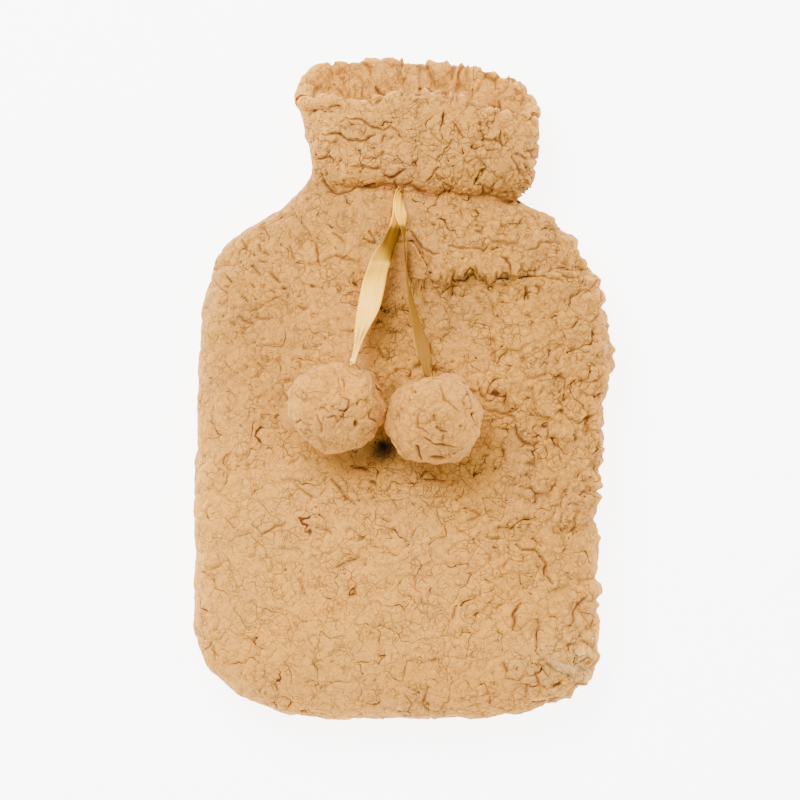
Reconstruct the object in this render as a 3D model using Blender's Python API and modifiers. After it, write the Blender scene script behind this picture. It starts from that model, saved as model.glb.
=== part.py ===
"""Cover for a hot water bottle, in curly long-pile fleece, lying on its back.

The cover is a bag of three panels sewn together down the sides and across the
bottom: a back panel, a lower front panel, and an upper front panel whose hem
laps over the lower one, so that the bottle goes in between them. The upper
front and the back run on through a drawn-in neck into a flared, open collar.
A satin ribbon comes out of a slit in the neck, and each of its two tails ends
at a fleece pompom that rests on the front.

Metres, +Z up out of the front, +Y towards the collar. The origin is on the
floor, under the middle of the cover. Every panel keeps the plump form that it
has round a bottle, and is open inside.
"""

import math
from collections import namedtuple

import bpy
import numpy as np
from mathutils import Matrix

MM = 0.001

# Driving dimensions, in metres
LENGTH = 353 * MM  # from the bottom seam to the top of the back collar
WALL = 6.5 * MM  # the knit backing and the pile that stands on it
GAP = 0.3 * MM  # between two pieces that touch
PILE_LIFT = 2.0 * MM  # how far the pile's clumps swell out
SEAM_BAND = 1.4 * MM  # each panel stands upright at its seams by this much
BOTTOM_Y = -LENGTH / 2 + PILE_LIFT  # the bottom seam, under its pile
TUCK_Y = 91 * MM  # top edge of the lower front, hidden under the flap
RIM_Y = 149 * MM  # the collar's rim at the side seams, between left and right

# The lower corners of the outline, each a quarter of an ellipse
LEFT_CORNER = (70 * MM, 50 * MM)  # its half-width and half-height
RIGHT_CORNER = (64 * MM, 35 * MM)

# How the plump form closes towards the bottom seam, and across a section
FRONT_CLOSE = 46 * MM
BACK_CLOSE = 27 * MM
CLOSE_POWER = 2.2
FRONT_POWER = 2.8
BACK_POWER = 2.8
FLOOR_CUT = 1.2 * MM  # how far the round underside is pressed flat

# The flap over the lower front
FLAP_LIFT = 7.8 * MM  # it rides on the lower front by this much
FLAP_LIFT_FROM = 93 * MM  # the lift fades out between these two heights
FLAP_LIFT_TO = 104 * MM
TUCK_FROM = 49 * MM  # the lower front draws in under the flap between these
TUCK_TO = 61 * MM
TUCK_TAPER = 17 * MM  # and it narrows by this much more up to its top edge
HEM_Y = 64 * MM  # mean height of the flap's hem
HEM_FADE = 26 * MM  # rows above the hem follow it over this distance
RIM_FADE = 16 * MM  # and rows below the rim follow it over this one

# The pile's clumps and free edges, as far as they show from a step away
LUMP_FADE_Z = (3 * MM, 12 * MM)  # no lumps on the flat underside
SCALLOP = 1.5 * MM  # depth of the scallops on a free edge
SCALLOP_PITCH = 12.5 * MM

# Steps of the panels' grids
ACROSS = {"back": 26, "lower": 28, "upper": 34}
BODY_ROW = 10 * MM
NECK_ROW = 5.6 * MM
CLOSE_ROWS = 6
FINE_STEPS = 721  # along a section, to find its even steps
EDGE_ROUND = 1.7 * MM

# The slit in the neck
SLIT_X = -2.1 * MM
SLIT_Y = 105.6 * MM
SLIT_SIZE = (4.0 * MM, 15.0 * MM, 26 * MM)

RIBBON_THICK = 1.0 * MM
RIBBON_ROW = 3.4 * MM

# Sections across the cover, in millimetres. left and right are the outline,
# front and back the highest and lowest points, seam the height of the side
# seams. Towards the collar a section slopes: slant is how much lower its right
# end is than its middle, front_bow and back_bow how far its front and back
# reach further towards the collar than its ends do.
Section = namedtuple("Section", "name y left right front back seam slant front_bow back_bow")
SECTIONS = (
    Section("bottom corners", -126.5, -111.0, 104.4, 50.0, 0.0, 20.0, 0.0, 0.0, 0.0),
    Section("lower body", -80.0, -111.4, 104.0, 53.0, 0.0, 20.0, 0.0, 0.0, 0.0),
    Section("middle", -20.0, -109.8, 107.0, 54.0, 0.0, 20.0, 0.0, 0.0, 0.0),
    Section("widest", 20.0, -108.8, 110.6, 54.0, 0.0, 20.0, 0.0, 0.0, 0.0),
    Section("chest", 52.0, -104.4, 106.2, 52.0, 0.0, 20.0, 0.0, 0.0, 0.0),
    Section("hem", 66.0, -100.6, 99.4, 50.0, 0.0, 20.0, 0.0, 0.0, 0.0),
    Section("shoulder", 81.0, -89.5, 90.0, 46.0, 0.0, 20.0, 0.0, 0.0, 0.0),
    Section("slope", 92.0, -70.5, 79.0, 43.5, 0.6, 20.5, 0.6, 0.0, 0.0),
    Section("neck foot", 99.0, -58.5, 67.5, 43.0, 2.0, 21.0, 2.4, 0.0, 0.0),
    Section("neck", 104.5, -51.6, 60.6, 41.5, 4.0, 21.5, 3.6, 0.0, 0.0),
    Section("collar foot", 110.5, -49.2, 65.6, 47.5, 3.0, 22.0, 3.6, 0.0, 0.0),
    Section("collar", 122.0, -49.0, 70.4, 52.0, 1.4, 23.0, 3.6, 1.0, 2.0),
    Section("collar flare", 136.0, -52.4, 72.0, 54.0, 0.4, 24.0, 3.8, 3.0, 9.0),
    Section("rim", 149.0, -57.4, 73.4, 54.5, 0.0, 25.0, 4.0, 5.0, 27.5),
)

# The flap's hem, in millimetres: level at both sides, drawn up in the middle
# where the ribbon hangs over it
Hem = namedtuple("Hem", "name x y")
HEM = (
    Hem("left seam", -102.0, 64.0),
    Hem("left", -60.0, 66.0),
    Hem("left of the notch", -20.0, 65.5),
    Hem("notch foot left", -12.0, 69.5),
    Hem("notch top left", -4.5, 79.5),
    Hem("notch top right", 4.0, 79.5),
    Hem("notch foot right", 12.0, 68.0),
    Hem("right of the notch", 19.0, 60.0),
    Hem("right", 32.0, 58.5),
    Hem("right far", 60.0, 60.5),
    Hem("right seam", 102.0, 64.0),
)

# The front rim of the collar, in millimetres: how far its wave stands over the
# plain curve of the rim
Rim = namedtuple("Rim", "name x rise")
FRONT_RIM = (
    Rim("left seam", -58.0, 0.0),
    Rim("left dip", -36.0, -2.5),
    Rim("left", -16.0, -0.5),
    Rim("top", 10.0, 5.0),
    Rim("right", 34.0, 2.5),
    Rim("right dip", 54.0, -2.0),
    Rim("right seam", 74.0, 0.0),
)

# Waves that add up to the pile's clumps: a wavelength along each axis, in
# millimetres, a phase in turns, and the wave's share of the whole
Wave = namedtuple("Wave", "along_x along_y along_z phase share")
WAVES = (
    Wave(25.0, 58.0, 40.0, 0.10, 0.36),
    Wave(-37.0, 27.0, 52.0, 0.45, 0.34),
    Wave(66.0, -24.0, 31.0, 0.80, 0.30),
)

# The ribbon's two tails, in millimetres and degrees: a point on its middle
# line, its height over the cloth under it, how far its face is turned away
# from straight up, and its width, which is gathered at both ends
Station = namedtuple("Station", "name x y lift turn width")
LEFT_TAIL = (
    Station("in the slit", -3.05, 106.5, -4.5, 90.0, 10.5),
    Station("slit mouth", -3.05, 106.2, 2.0, 90.0, 10.5),
    Station("bend", -3.1, 101.0, 10.6, 75.0, 10.5),
    Station("band", -3.2, 94.5, 9.6, 62.0, 11.5),
    Station("parting", -4.6, 86.0, 8.6, 64.0, 12.0),
    Station("turning", -7.8, 77.5, 8.2, 48.0, 12.0),
    Station("over the hem", -12.2, 67.5, 8.4, 14.0, 12.0),
    Station("open face", -14.6, 58.0, 12.6, 2.0, 12.0),
    Station("face", -17.4, 45.0, 15.0, -12.0, 12.0),
    Station("closing", -20.9, 33.5, 17.5, -42.0, 11.0),
    Station("drawn in", -23.8, 22.5, 20.5, -66.0, 8.0),
    Station("at the pompom", -26.5, 13.3, 23.5, -72.0, 4.5),
)
RIGHT_TAIL = (
    Station("in the slit", -1.35, 106.5, -4.5, 90.0, 10.5),
    Station("slit mouth", -1.35, 106.2, 2.0, 90.0, 10.5),
    Station("bend", -1.3, 101.0, 11.4, 75.0, 10.5),
    Station("band", -0.9, 94.5, 9.6, 62.0, 11.5),
    Station("parting", -0.2, 86.0, 8.8, 78.0, 12.0),
    Station("edge on", 0.7, 77.0, 9.0, 86.0, 12.0),
    Station("over the hem", 1.7, 66.0, 10.5, 88.0, 12.0),
    Station("falling", 3.2, 55.0, 14.0, 82.0, 12.0),
    Station("opening", 5.4, 44.0, 15.5, 66.0, 12.0),
    Station("face", 8.3, 31.5, 17.0, 52.0, 11.5),
    Station("drawn in", 11.0, 19.5, 20.0, 60.0, 9.0),
    Station("at the pompom", 12.9, 9.4, 23.5, 76.0, 5.0),
)

# The pompoms, in millimetres: centre, half sizes and the phase of their lumps
Pompom = namedtuple("Pompom", "name x y half_x half_y half_z phase")
POMPOMS = (
    Pompom("pompom_left", -34.5, -9.3, 25.8, 23.2, 22.5, 0.0),
    Pompom("pompom_right", 16.9, -15.6, 25.6, 24.4, 23.0, 0.37),
)
POMPOM_LIFT = 1.3 * MM
POMPOM_LUMP = 13 * MM  # wavelength of the lumps
POMPOM_WAVES = np.array([[0.9, -0.5, 0.3], [0.2, 1.0, -0.6], [-0.7, 0.4, 1.0]])  # a column each
POMPOM_STEPS = (28, 20)  # round and over each ball
POMPOM_RESTS = {"pompom_left": 2.2 * MM, "pompom_right": 1.3 * MM}  # over the smooth cloth

# Material name: colour, roughness, metallic
FINISHES = {
    "fleece": ((0.68, 0.42, 0.20, 1.0), 0.95, 0.0),
    "pompom fleece": ((0.62, 0.39, 0.19, 1.0), 0.95, 0.0),
    "satin": ((0.80, 0.55, 0.28, 1.0), 0.35, 0.0),
}


def clear_scene():
    for old in list(bpy.data.objects):
        bpy.data.objects.remove(old, do_unlink=True)


def collection(name):
    made = bpy.data.collections.new(name)
    bpy.context.scene.collection.children.link(made)
    return made


def material(name):
    colour, roughness, metallic = FINISHES[name]
    made = bpy.data.materials.get(name) or bpy.data.materials.new(name)
    made.use_nodes = True
    shader = made.node_tree.nodes["Principled BSDF"]
    shader.inputs["Base Color"].default_value = colour
    shader.inputs["Roughness"].default_value = roughness
    shader.inputs["Metallic"].default_value = metallic
    made.diffuse_color = colour
    return made


def smoothstep(value, low, high):
    t = np.clip((value - low) / (high - low), 0.0, 1.0)
    return t * t * (3.0 - 2.0 * t)


def column(table, name, scale=MM):
    return np.array([getattr(row, name) for row in table], dtype=float) * scale


def through(knots, values, at):
    """The smooth curve through the table's values that never swings past them."""
    step = np.diff(knots)
    slope = np.diff(values) / step
    product = slope[:-1] * slope[1:]
    total = np.where(product > 0, slope[:-1] + slope[1:], 1.0)
    inner = np.where(product > 0, 2.0 * product / total, 0.0)
    tangent = np.concatenate([slope[:1], inner, slope[-1:]])
    at = np.clip(at, knots[0], knots[-1])
    k = np.clip(np.searchsorted(knots, at) - 1, 0, len(step) - 1)
    t = (at - knots[k]) / step[k]
    start = values[k] * (1 + 2 * t) * (1 - t) ** 2 + tangent[k] * step[k] * t * (1 - t) ** 2
    end = values[k + 1] * t * t * (3 - 2 * t) + tangent[k + 1] * step[k] * t * t * (t - 1)
    return start + end


def section(name, y):
    """One column of the section table, at any height on the cover."""
    return through(column(SECTIONS, "y"), column(SECTIONS, name), y)


def corner_reach(y, corner):
    """How far the outline has drawn in at y, where a lower corner rounds it."""
    across, along = corner
    rise = np.clip((BOTTOM_Y + along - y) / along, 0.0, 1.0)
    return across * (1.0 - np.sqrt(1.0 - rise**2))


def outline(y):
    """The left and right edges of the cover at height y."""
    left = section("left", y) + corner_reach(y, LEFT_CORNER)
    right = section("right", y) - corner_reach(y, RIGHT_CORNER)
    return left + PILE_LIFT / 2, right - PILE_LIFT / 2


def closing(y, distance):
    """0 at the bottom seam, rising like a quarter of a rounded square to 1."""
    rest = 1.0 - np.clip((y - BOTTOM_Y) / distance, 0.0, 1.0)
    return (1.0 - rest**CLOSE_POWER) ** (1.0 / CLOSE_POWER)


def crown(s, power):
    """The height of a section's rounded form over its seams, from 0 to 1."""
    return (1.0 - np.minimum(np.abs(s), 1.0) ** power) ** (1.0 / power)


def lumps(points):
    """The outward swell of the pile's clumps, between 0 and PILE_LIFT."""
    x, y, z = points[..., 0], points[..., 1], points[..., 2]
    total = np.zeros_like(x)
    for w in WAVES:
        turns = x / (w.along_x * MM) + y / (w.along_y * MM) + z / (w.along_z * MM) + w.phase
        total += w.share * np.sin(2 * math.pi * turns)
    return 0.5 * PILE_LIFT * (1.0 + total) * smoothstep(z, *LUMP_FADE_Z)


def back_surface(s, y):
    """A point of the back panel, s from -1 at the left seam to 1 at the right."""
    left, right = outline(y)
    seam = section("seam", y)
    depth = (seam - SEAM_BAND - section("back", y) + FLOOR_CUT) * closing(y, BACK_CLOSE)
    rise = crown(s, BACK_POWER)
    x = (left + right) / 2 + (right - left) / 2 * s
    z = np.maximum(seam - GAP / 2 - SEAM_BAND - depth * rise, 0.0)
    along = y - section("slant", y) * s + section("back_bow", y) * rise
    return np.stack([x, along, z], axis=-1)


def front_surface(s, y, lift, inset):
    """A point of the front, lifted over the lower front and inset at the sides."""
    left, right = outline(y)
    seam = section("seam", y)
    height = (section("front", y) + lift - seam - SEAM_BAND) * closing(y, FRONT_CLOSE)
    rise = crown(s, FRONT_POWER)
    x = (left + right) / 2 + ((right - left) / 2 - inset) * s
    z = seam + GAP / 2 + SEAM_BAND + height * rise
    along = y - section("slant", y) * s + section("front_bow", y) * rise
    return np.stack([x, along, z], axis=-1)


def lower_surface(s, y):
    under_flap = FLAP_LIFT * smoothstep(y, TUCK_FROM, TUCK_TO)
    taper = TUCK_TAPER * smoothstep(y, TUCK_TO, TUCK_Y)
    return front_surface(s, y, 0.0, under_flap + taper)


def upper_surface(s, y):
    lift = FLAP_LIFT * (1.0 - smoothstep(y, FLAP_LIFT_FROM, FLAP_LIFT_TO))
    return front_surface(s, y, lift, 0.0)


def cloth_height(x, y):
    """How high the flap or, below its hem, the lower front lies at x, y."""
    left, right = outline(y)
    s = (x - (left + right) / 2) / ((right - left) / 2)
    flap = upper_surface(s, y)[..., 2]
    lower = lower_surface(s, y)[..., 2]
    return np.where(y > hem_height(x) - FLAP_LIFT, flap, lower)


def hem_height(x):
    return through(column(HEM, "x"), column(HEM, "y"), x)


def scallops(x):
    """The lobes of a free edge, a little unlike one another."""
    turn = 2 * math.pi * x / SCALLOP_PITCH
    return SCALLOP * (0.65 * np.sin(turn) + 0.35 * np.sin(0.61 * turn + 1.3))


def even_columns(surface, y, count):
    """Values of s that lie at even distances along the section at y."""
    s = -np.cos(np.linspace(0.0, math.pi, FINE_STEPS))
    line = surface(s, np.full_like(s, y))
    run = np.concatenate([[0.0], np.cumsum(np.linalg.norm(np.diff(line, axis=0), axis=1))])
    return np.interp(np.linspace(0.0, run[-1], count + 1), run, s)


def rows_between(low, high, step):
    count = max(1, round((high - low) / step))
    return list(np.linspace(low, high, count + 1))


def closing_rows(distance):
    """Heights that lie evenly on the rounded form above the bottom seam."""
    angle = np.linspace(0.0, math.pi / 2, CLOSE_ROWS + 1)
    return list(BOTTOM_Y + distance * (1.0 - np.cos(angle)))


def body_rows(distance, top):
    rows = closing_rows(distance)
    return rows + rows_between(rows[-1], top, BODY_ROW)[1:]


def grid_faces(rows, columns):
    index = np.arange(rows * columns).reshape(rows, columns)
    quads = [index[:-1, :-1], index[:-1, 1:], index[1:, 1:], index[1:, :-1]]
    return np.stack(quads, axis=-1).reshape(-1, 4)


def normals_of(grid):
    """The grid's outward directions, from its neighbours across and along."""
    across = np.gradient(grid, axis=1)
    along = np.gradient(grid, axis=0)
    normal = np.cross(across, along)
    return normal / np.maximum(np.linalg.norm(normal, axis=-1, keepdims=True), 1e-12)


def seam_loop(rows, columns, bottom):
    """Numbers of the grid's points down the left seam, along and up the right."""
    index = np.arange(rows * columns).reshape(rows, columns)
    along = index[0, 1:-1] if bottom else index[0, :0]
    return np.concatenate([index[::-1, 0], along, index[:, -1]])


def seam_band(grid, faces, facing, bottom):
    """Carries the grid's sewn edges straight down or up to the seam's height."""
    rows, columns = grid.shape[:2]
    points = grid.reshape(-1, 3)
    loop = seam_loop(rows, columns, bottom)
    edge = points[loop]
    edge[:, 2] = section("seam", edge[:, 1]) + facing * GAP / 2
    new = len(points) + np.arange(len(loop))
    band = np.stack([new[:-1], new[1:], loop[1:], loop[:-1]], axis=-1)
    if not bottom:
        band = np.delete(band, rows - 1, axis=0)
    return np.concatenate([points, edge]), np.concatenate([faces, band])


def sheet_object(name, points, faces, finish, folder):
    """An open sheet of cloth, smooth shaded."""
    mesh = bpy.data.meshes.new(name)
    mesh.from_pydata(points.tolist(), [], faces.tolist())
    mesh.shade_smooth()
    made = bpy.data.objects.new(name, mesh)
    made.data.materials.append(material(finish))
    folder.objects.link(made)
    return made


def thicken(made, thickness, offset):
    solidify = made.modifiers.new("cloth thickness", "SOLIDIFY")
    solidify.thickness = thickness
    solidify.offset = offset
    solidify.use_even_offset = True


def round_edges(made, width):
    bevel = made.modifiers.new("soft edges", "BEVEL")
    bevel.width = width
    bevel.segments = 1
    bevel.limit_method = "ANGLE"
    bevel.angle_limit = math.radians(50)


def panel(name, surface, rows, columns, folder, facing, edit=None, calm_from=None):
    """A panel of the cover: its outer face, thickened inwards.

    facing is 1 for the front and -1 for the back, edit shapes a panel's free
    edges, and from calm_from upwards the pile is pressed flat by the flap.
    """
    grid = []
    for y in rows:
        s = even_columns(surface, y, columns)
        grid.append(surface(s, np.full_like(s, y)) if edit is None else edit(s, y))
    grid = np.array(grid)
    swell = lumps(grid)
    if calm_from is not None:
        swell *= 1.0 - smoothstep(grid[..., 1], calm_from, TUCK_TO)
    grid += facing * normals_of(grid) * swell[..., None]
    faces = grid_faces(*grid.shape[:2])
    points, faces = seam_band(grid, faces, facing, rows[0] == BOTTOM_Y)
    made = sheet_object(name, points, faces[:, :: int(facing)], "fleece", folder)
    thicken(made, WALL, -1.0)
    round_edges(made, EDGE_ROUND)
    return made


def back_panel(folder):
    rows = body_rows(BACK_CLOSE, FLAP_LIFT_FROM)
    rows += rows_between(rows[-1], RIM_Y, NECK_ROW)[1:]

    def edged(s, y):
        points = back_surface(s, np.full_like(s, y))
        near = smoothstep(y, RIM_Y - RIM_FADE, RIM_Y) * crown(s, BACK_POWER)
        points[:, 1] += near * scallops(points[:, 0])
        return points

    return panel("back_panel", back_surface, rows, ACROSS["back"], folder, -1.0, edged)


def front_lower(folder):
    rows = body_rows(FRONT_CLOSE, TUCK_Y)
    columns = ACROSS["lower"]
    return panel("front_lower", lower_surface, rows, columns, folder, 1.0, calm_from=TUCK_FROM)


def front_upper(folder):
    rows = rows_between(HEM_Y, FLAP_LIFT_FROM, NECK_ROW)
    rows += rows_between(rows[-1], RIM_Y, NECK_ROW)[1:]

    def hemmed(s, y):
        flat = upper_surface(s, np.full_like(s, y))
        near_hem = 1.0 - smoothstep(y, HEM_Y, HEM_Y + HEM_FADE)
        lobes = scallops(flat[:, 0]) * crown(s, FRONT_POWER)
        hem = hem_height(flat[:, 0]) + lobes - HEM_Y
        points = upper_surface(s, y + near_hem * hem)
        near_rim = smoothstep(y, RIM_Y - RIM_FADE, RIM_Y) * crown(s, FRONT_POWER)
        wave = through(column(FRONT_RIM, "x"), column(FRONT_RIM, "rise"), points[:, 0])
        points[:, 1] += near_rim * (wave + scallops(points[:, 0]))
        return points

    return panel("front_upper", upper_surface, rows, ACROSS["upper"], folder, 1.0, hemmed)


def cut_slit(made, cutters):
    """The worked slit in the neck that the ribbon comes out of."""
    height = float(cloth_height(np.array([SLIT_X]), np.array([SLIT_Y]))[0])
    bpy.ops.mesh.primitive_cube_add(size=1.0, location=(SLIT_X, SLIT_Y, height))
    cutter = bpy.context.object
    cutter.name = "slit cutter"
    cutter.data.transform(Matrix.Diagonal((*SLIT_SIZE, 1.0)))
    cutter.hide_render = True
    cutter.display_type = "WIRE"
    for holder in list(cutter.users_collection):
        holder.objects.unlink(cutter)
    cutters.objects.link(cutter)
    boolean = made.modifiers.new("slit", "BOOLEAN")
    boolean.object = cutter
    boolean.operation = "DIFFERENCE"
    boolean.solver = "EXACT"


def ribbon(name, stations, folder):
    """A tail of the ribbon: a flat strip that turns about its middle line."""
    x, y = column(stations, "x"), column(stations, "y")
    z = cloth_height(x, y) + column(stations, "lift")
    line = np.stack([x, y, z], axis=-1)
    run = np.concatenate([[0.0], np.cumsum(np.linalg.norm(np.diff(line, axis=0), axis=1))])
    at = np.linspace(0.0, run[-1], round(run[-1] / RIBBON_ROW) + 1)
    middle = np.stack([through(run, line[:, k], at) for k in range(3)], axis=-1)
    turn = np.radians(through(run, column(stations, "turn", 1.0), at))
    width = through(run, column(stations, "width"), at)
    ahead = np.gradient(middle, axis=0)
    ahead /= np.linalg.norm(ahead, axis=1, keepdims=True)
    level = np.tile(np.array([1.0, 0.0, 0.0]), (len(at), 1))
    level -= ahead * np.sum(level * ahead, axis=1, keepdims=True)
    level /= np.linalg.norm(level, axis=1, keepdims=True)
    upright = np.cross(level, ahead)
    side = level * np.cos(turn)[:, None] + upright * np.sin(turn)[:, None]
    places = np.array([-0.5, 0.0, 0.5])
    grid = middle[:, None, :] + side[:, None, :] * width[:, None, None] * places[None, :, None]
    faces = grid_faces(*grid.shape[:2])
    made = sheet_object(name, grid.reshape(-1, 3), faces, "satin", folder)
    thicken(made, RIBBON_THICK, 0.0)
    return made


def pompom(spec, folder):
    """A round, curly ball that rests on the front of the cover."""
    half = np.array([spec.half_x, spec.half_y, spec.half_z]) * MM
    place = np.array([spec.x, spec.y]) * MM
    ground = float(cloth_height(place[:1], place[1:])[0])
    centre = np.append(place, ground + half[2] + POMPOM_RESTS[spec.name])
    bpy.ops.mesh.primitive_uv_sphere_add(segments=POMPOM_STEPS[0], ring_count=POMPOM_STEPS[1], radius=1.0)
    made = bpy.context.object
    made.name = spec.name
    mesh = made.data
    mesh.name = spec.name
    unit = np.empty(len(mesh.vertices) * 3)
    mesh.vertices.foreach_get("co", unit)
    unit = unit.reshape(-1, 3)
    turns = unit @ POMPOM_WAVES * (half[0] / POMPOM_LUMP) + spec.phase
    swell = np.sin(2 * math.pi * turns).mean(axis=1)
    points = centre + unit * (half + POMPOM_LIFT * swell[:, None])
    mesh.vertices.foreach_set("co", points.ravel())
    mesh.shade_smooth()
    mesh.materials.append(material("pompom fleece"))
    for holder in list(made.users_collection):
        holder.objects.unlink(made)
    folder.objects.link(made)
    return made


def main():
    clear_scene()
    cover = collection("hot water bottle cover")
    cutters = collection("cutters")
    back_panel(cover)
    front_lower(cover)
    cut_slit(front_upper(cover), cutters)
    ribbon("ribbon_left", LEFT_TAIL, cover)
    ribbon("ribbon_right", RIGHT_TAIL, cover)
    for spec in POMPOMS:
        pompom(spec, cover)


main()
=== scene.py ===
"""Looks of the hot water bottle cover: its curly fleece, its satin ribbon and pompoms.

The cover lies on its back on a pale floor. Its panels are walls of cloth that
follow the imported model's sections, with the curls of the pile raised on them.
Metres, +Z up out of the front, +Y towards the collar.
"""

import itertools
import math
from collections import namedtuple

import bpy
import numpy as np
from bpy.props import FloatProperty, FloatVectorProperty, IntProperty, PointerProperty
from bpy.types import Operator, Panel, PropertyGroup
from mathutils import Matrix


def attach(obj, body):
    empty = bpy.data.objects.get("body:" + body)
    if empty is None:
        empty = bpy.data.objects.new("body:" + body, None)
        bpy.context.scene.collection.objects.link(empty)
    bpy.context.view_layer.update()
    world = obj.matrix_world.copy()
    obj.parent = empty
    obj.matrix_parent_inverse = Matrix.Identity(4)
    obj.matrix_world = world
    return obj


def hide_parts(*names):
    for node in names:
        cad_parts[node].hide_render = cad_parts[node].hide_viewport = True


bl_info = {
    "name": "Hot Water Bottle Cover",
    "version": (1, 0, 0),
    "blender": (4, 5, 0),
    "location": "3D View > Sidebar > Cover",
    "description": "Curly fleece, satin ribbon and pompoms for a hot water bottle cover",
    "category": "Add Mesh",
}

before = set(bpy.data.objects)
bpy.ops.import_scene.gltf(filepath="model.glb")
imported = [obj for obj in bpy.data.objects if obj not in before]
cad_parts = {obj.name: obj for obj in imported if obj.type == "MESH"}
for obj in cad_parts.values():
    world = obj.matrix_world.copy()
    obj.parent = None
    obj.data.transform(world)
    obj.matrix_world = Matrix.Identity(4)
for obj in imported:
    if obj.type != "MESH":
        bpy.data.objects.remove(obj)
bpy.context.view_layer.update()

MM = 0.001

# The cover's form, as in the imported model
LENGTH = 353 * MM
WALL = 6.5 * MM
PILE_LIFT = 2.0 * MM
BOTTOM_Y = -LENGTH / 2 + PILE_LIFT
TUCK_Y = 91 * MM
HEM_Y = 64 * MM
RIM_Y = 149 * MM
SEAM_GAP = 0.05 * MM
LEFT_CORNER = (70 * MM, 50 * MM)
RIGHT_CORNER = (64 * MM, 35 * MM)
FRONT_CLOSE = 46 * MM
BACK_CLOSE = 27 * MM
CLOSE_POWER = 2.2
CROWN_POWER = 2.8
FLOOR_CUT = 1.2 * MM
FLAP_LIFT = 7.8 * MM
FLAP_LIFT_FADE = (93 * MM, 104 * MM)
TUCK_FADE = (49 * MM, 61 * MM)
TUCK_TAPER = 17 * MM
HEM_FADE = 26 * MM
RIM_FADE = 16 * MM
LUMP_FADE_Z = (3 * MM, 12 * MM)

# How the cloth settles at the hem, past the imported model. Where it is combed level,
# the flap sinks and the lower front swells; elsewhere the flap hangs in puffed lobes
# over a front that swells up under them. Each fades out away from the hem
HEM_SINK = 4.0 * MM
SINK_FADE = 16 * MM
HEM_SWELL = 3.6 * MM
SWELL_FADE = 24 * MM
HEM_UNDER = 5.2 * MM
UNDER_FADE = 7 * MM
HEM_RAGGED = 1.3 * MM
HANG_FADE = 7 * MM
HEM_PUFF = 1.6 * MM
PUFF_FADE = 6 * MM
HEM_LEVEL_LEFT = (-22 * MM, -9 * MM)
HEM_LEVEL_RIGHT = (59 * MM, 72 * MM)
LEVEL_CLOSED = (1.8, 2.0)  # how far the front's pile closes the lap: evenly, unevenly
SEAM_CLOSED = (2.6, 1.4)
RAGGED_FROM = (12 * MM, 20 * MM)
LOBES_FROM = (12.0, 16.0)
LOBES_TO = (62.0, 66.0)
NOTCH_SWELL = 6.8 * MM
NOTCH_MIDDLE = (8.5, 69.0)
NOTCH_HALF = (7.0, 12.0)

# Where painted shade makes the satin darker or lighter, by height on the cover
SHADOW_Y = (66.0 * MM, 68.5 * MM)  # above these a tail is in its own fold's shade
BAND_Y = (84 * MM, 89 * MM)  # above these the ribbon faces up
DIM_Y = (40 * MM, 54 * MM)  # below these the right tail lies in the shade

Section = namedtuple("Section", "name y left right front back seam slant front_bow back_bow")
SECTIONS = (
    Section("bottom corners", -126.5, -111.0, 104.4, 50.0, 0.0, 20.0, 0.0, 0.0, 0.0),
    Section("lower body", -80.0, -111.4, 104.0, 53.0, 0.0, 20.0, 0.0, 0.0, 0.0),
    Section("middle", -20.0, -109.8, 107.0, 54.0, 0.0, 20.0, 0.0, 0.0, 0.0),
    Section("widest", 20.0, -108.8, 110.6, 54.0, 0.0, 20.0, 0.0, 0.0, 0.0),
    Section("chest", 52.0, -104.4, 106.2, 52.0, 0.0, 20.0, 0.0, 0.0, 0.0),
    Section("hem", 66.0, -100.6, 99.4, 50.0, 0.0, 20.0, 0.0, 0.0, 0.0),
    Section("shoulder", 81.0, -89.5, 90.0, 46.0, 0.0, 20.0, 0.0, 0.0, 0.0),
    Section("slope", 92.0, -70.5, 79.0, 43.5, 0.6, 20.5, 0.6, 0.0, 0.0),
    Section("neck foot", 99.0, -58.5, 67.5, 43.0, 2.0, 21.0, 2.4, 0.0, 0.0),
    Section("neck", 104.5, -51.6, 60.6, 41.5, 4.0, 21.5, 3.6, 0.0, 0.0),
    Section("collar foot", 110.5, -49.2, 65.6, 47.5, 3.0, 22.0, 3.6, 0.0, 0.0),
    Section("collar", 122.0, -49.0, 70.4, 52.0, 1.4, 23.0, 3.6, 1.0, 2.0),
    Section("collar flare", 136.0, -52.4, 72.0, 54.0, 0.4, 24.0, 3.8, 3.0, 9.0),
    Section("rim", 149.0, -57.4, 73.4, 54.5, 0.0, 25.0, 4.0, 5.0, 27.5),
)

Hem = namedtuple("Hem", "name x y")
HEM = (
    Hem("left seam", -102.0, 64.0),
    Hem("left", -60.0, 66.0),
    Hem("left of the notch", -20.0, 65.5),
    Hem("notch foot left", -12.0, 69.5),
    Hem("notch top left", -4.5, 79.5),
    Hem("notch top right", 4.0, 79.5),
    Hem("notch foot right", 12.0, 68.0),
    Hem("right of the notch", 19.0, 60.0),
    Hem("right", 32.0, 58.5),
    Hem("right far", 60.0, 60.5),
    Hem("right seam", 102.0, 64.0),
)

# The round lobes of the hem on the right, and how far each hangs down; and the dark
# hollows under the hem, where the cloth below doesn't reach up to it
Lobe = namedtuple("Lobe", "x half drop")
HEM_LOBES = (
    Lobe(19.4, 5.2, 2.4),
    Lobe(24.2, 1.7, 2.4),
    Lobe(30.0, 3.4, 0.4),
    Lobe(36.5, 2.6, -3.2),
    Lobe(41.6, 2.3, 0.4),
    Lobe(46.6, 2.6, 1.8),
    Lobe(52.6, 3.0, 0.2),
    Lobe(59.2, 3.2, 1.0),
)
Hollow = namedtuple("Hollow", "x half share")
HEM_HOLLOWS = (
    Hollow(26.2, 2.4, 1.0),
    Hollow(36.6, 4.0, 1.0),
    Hollow(45.5, 4.5, 0.55),
)

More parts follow.
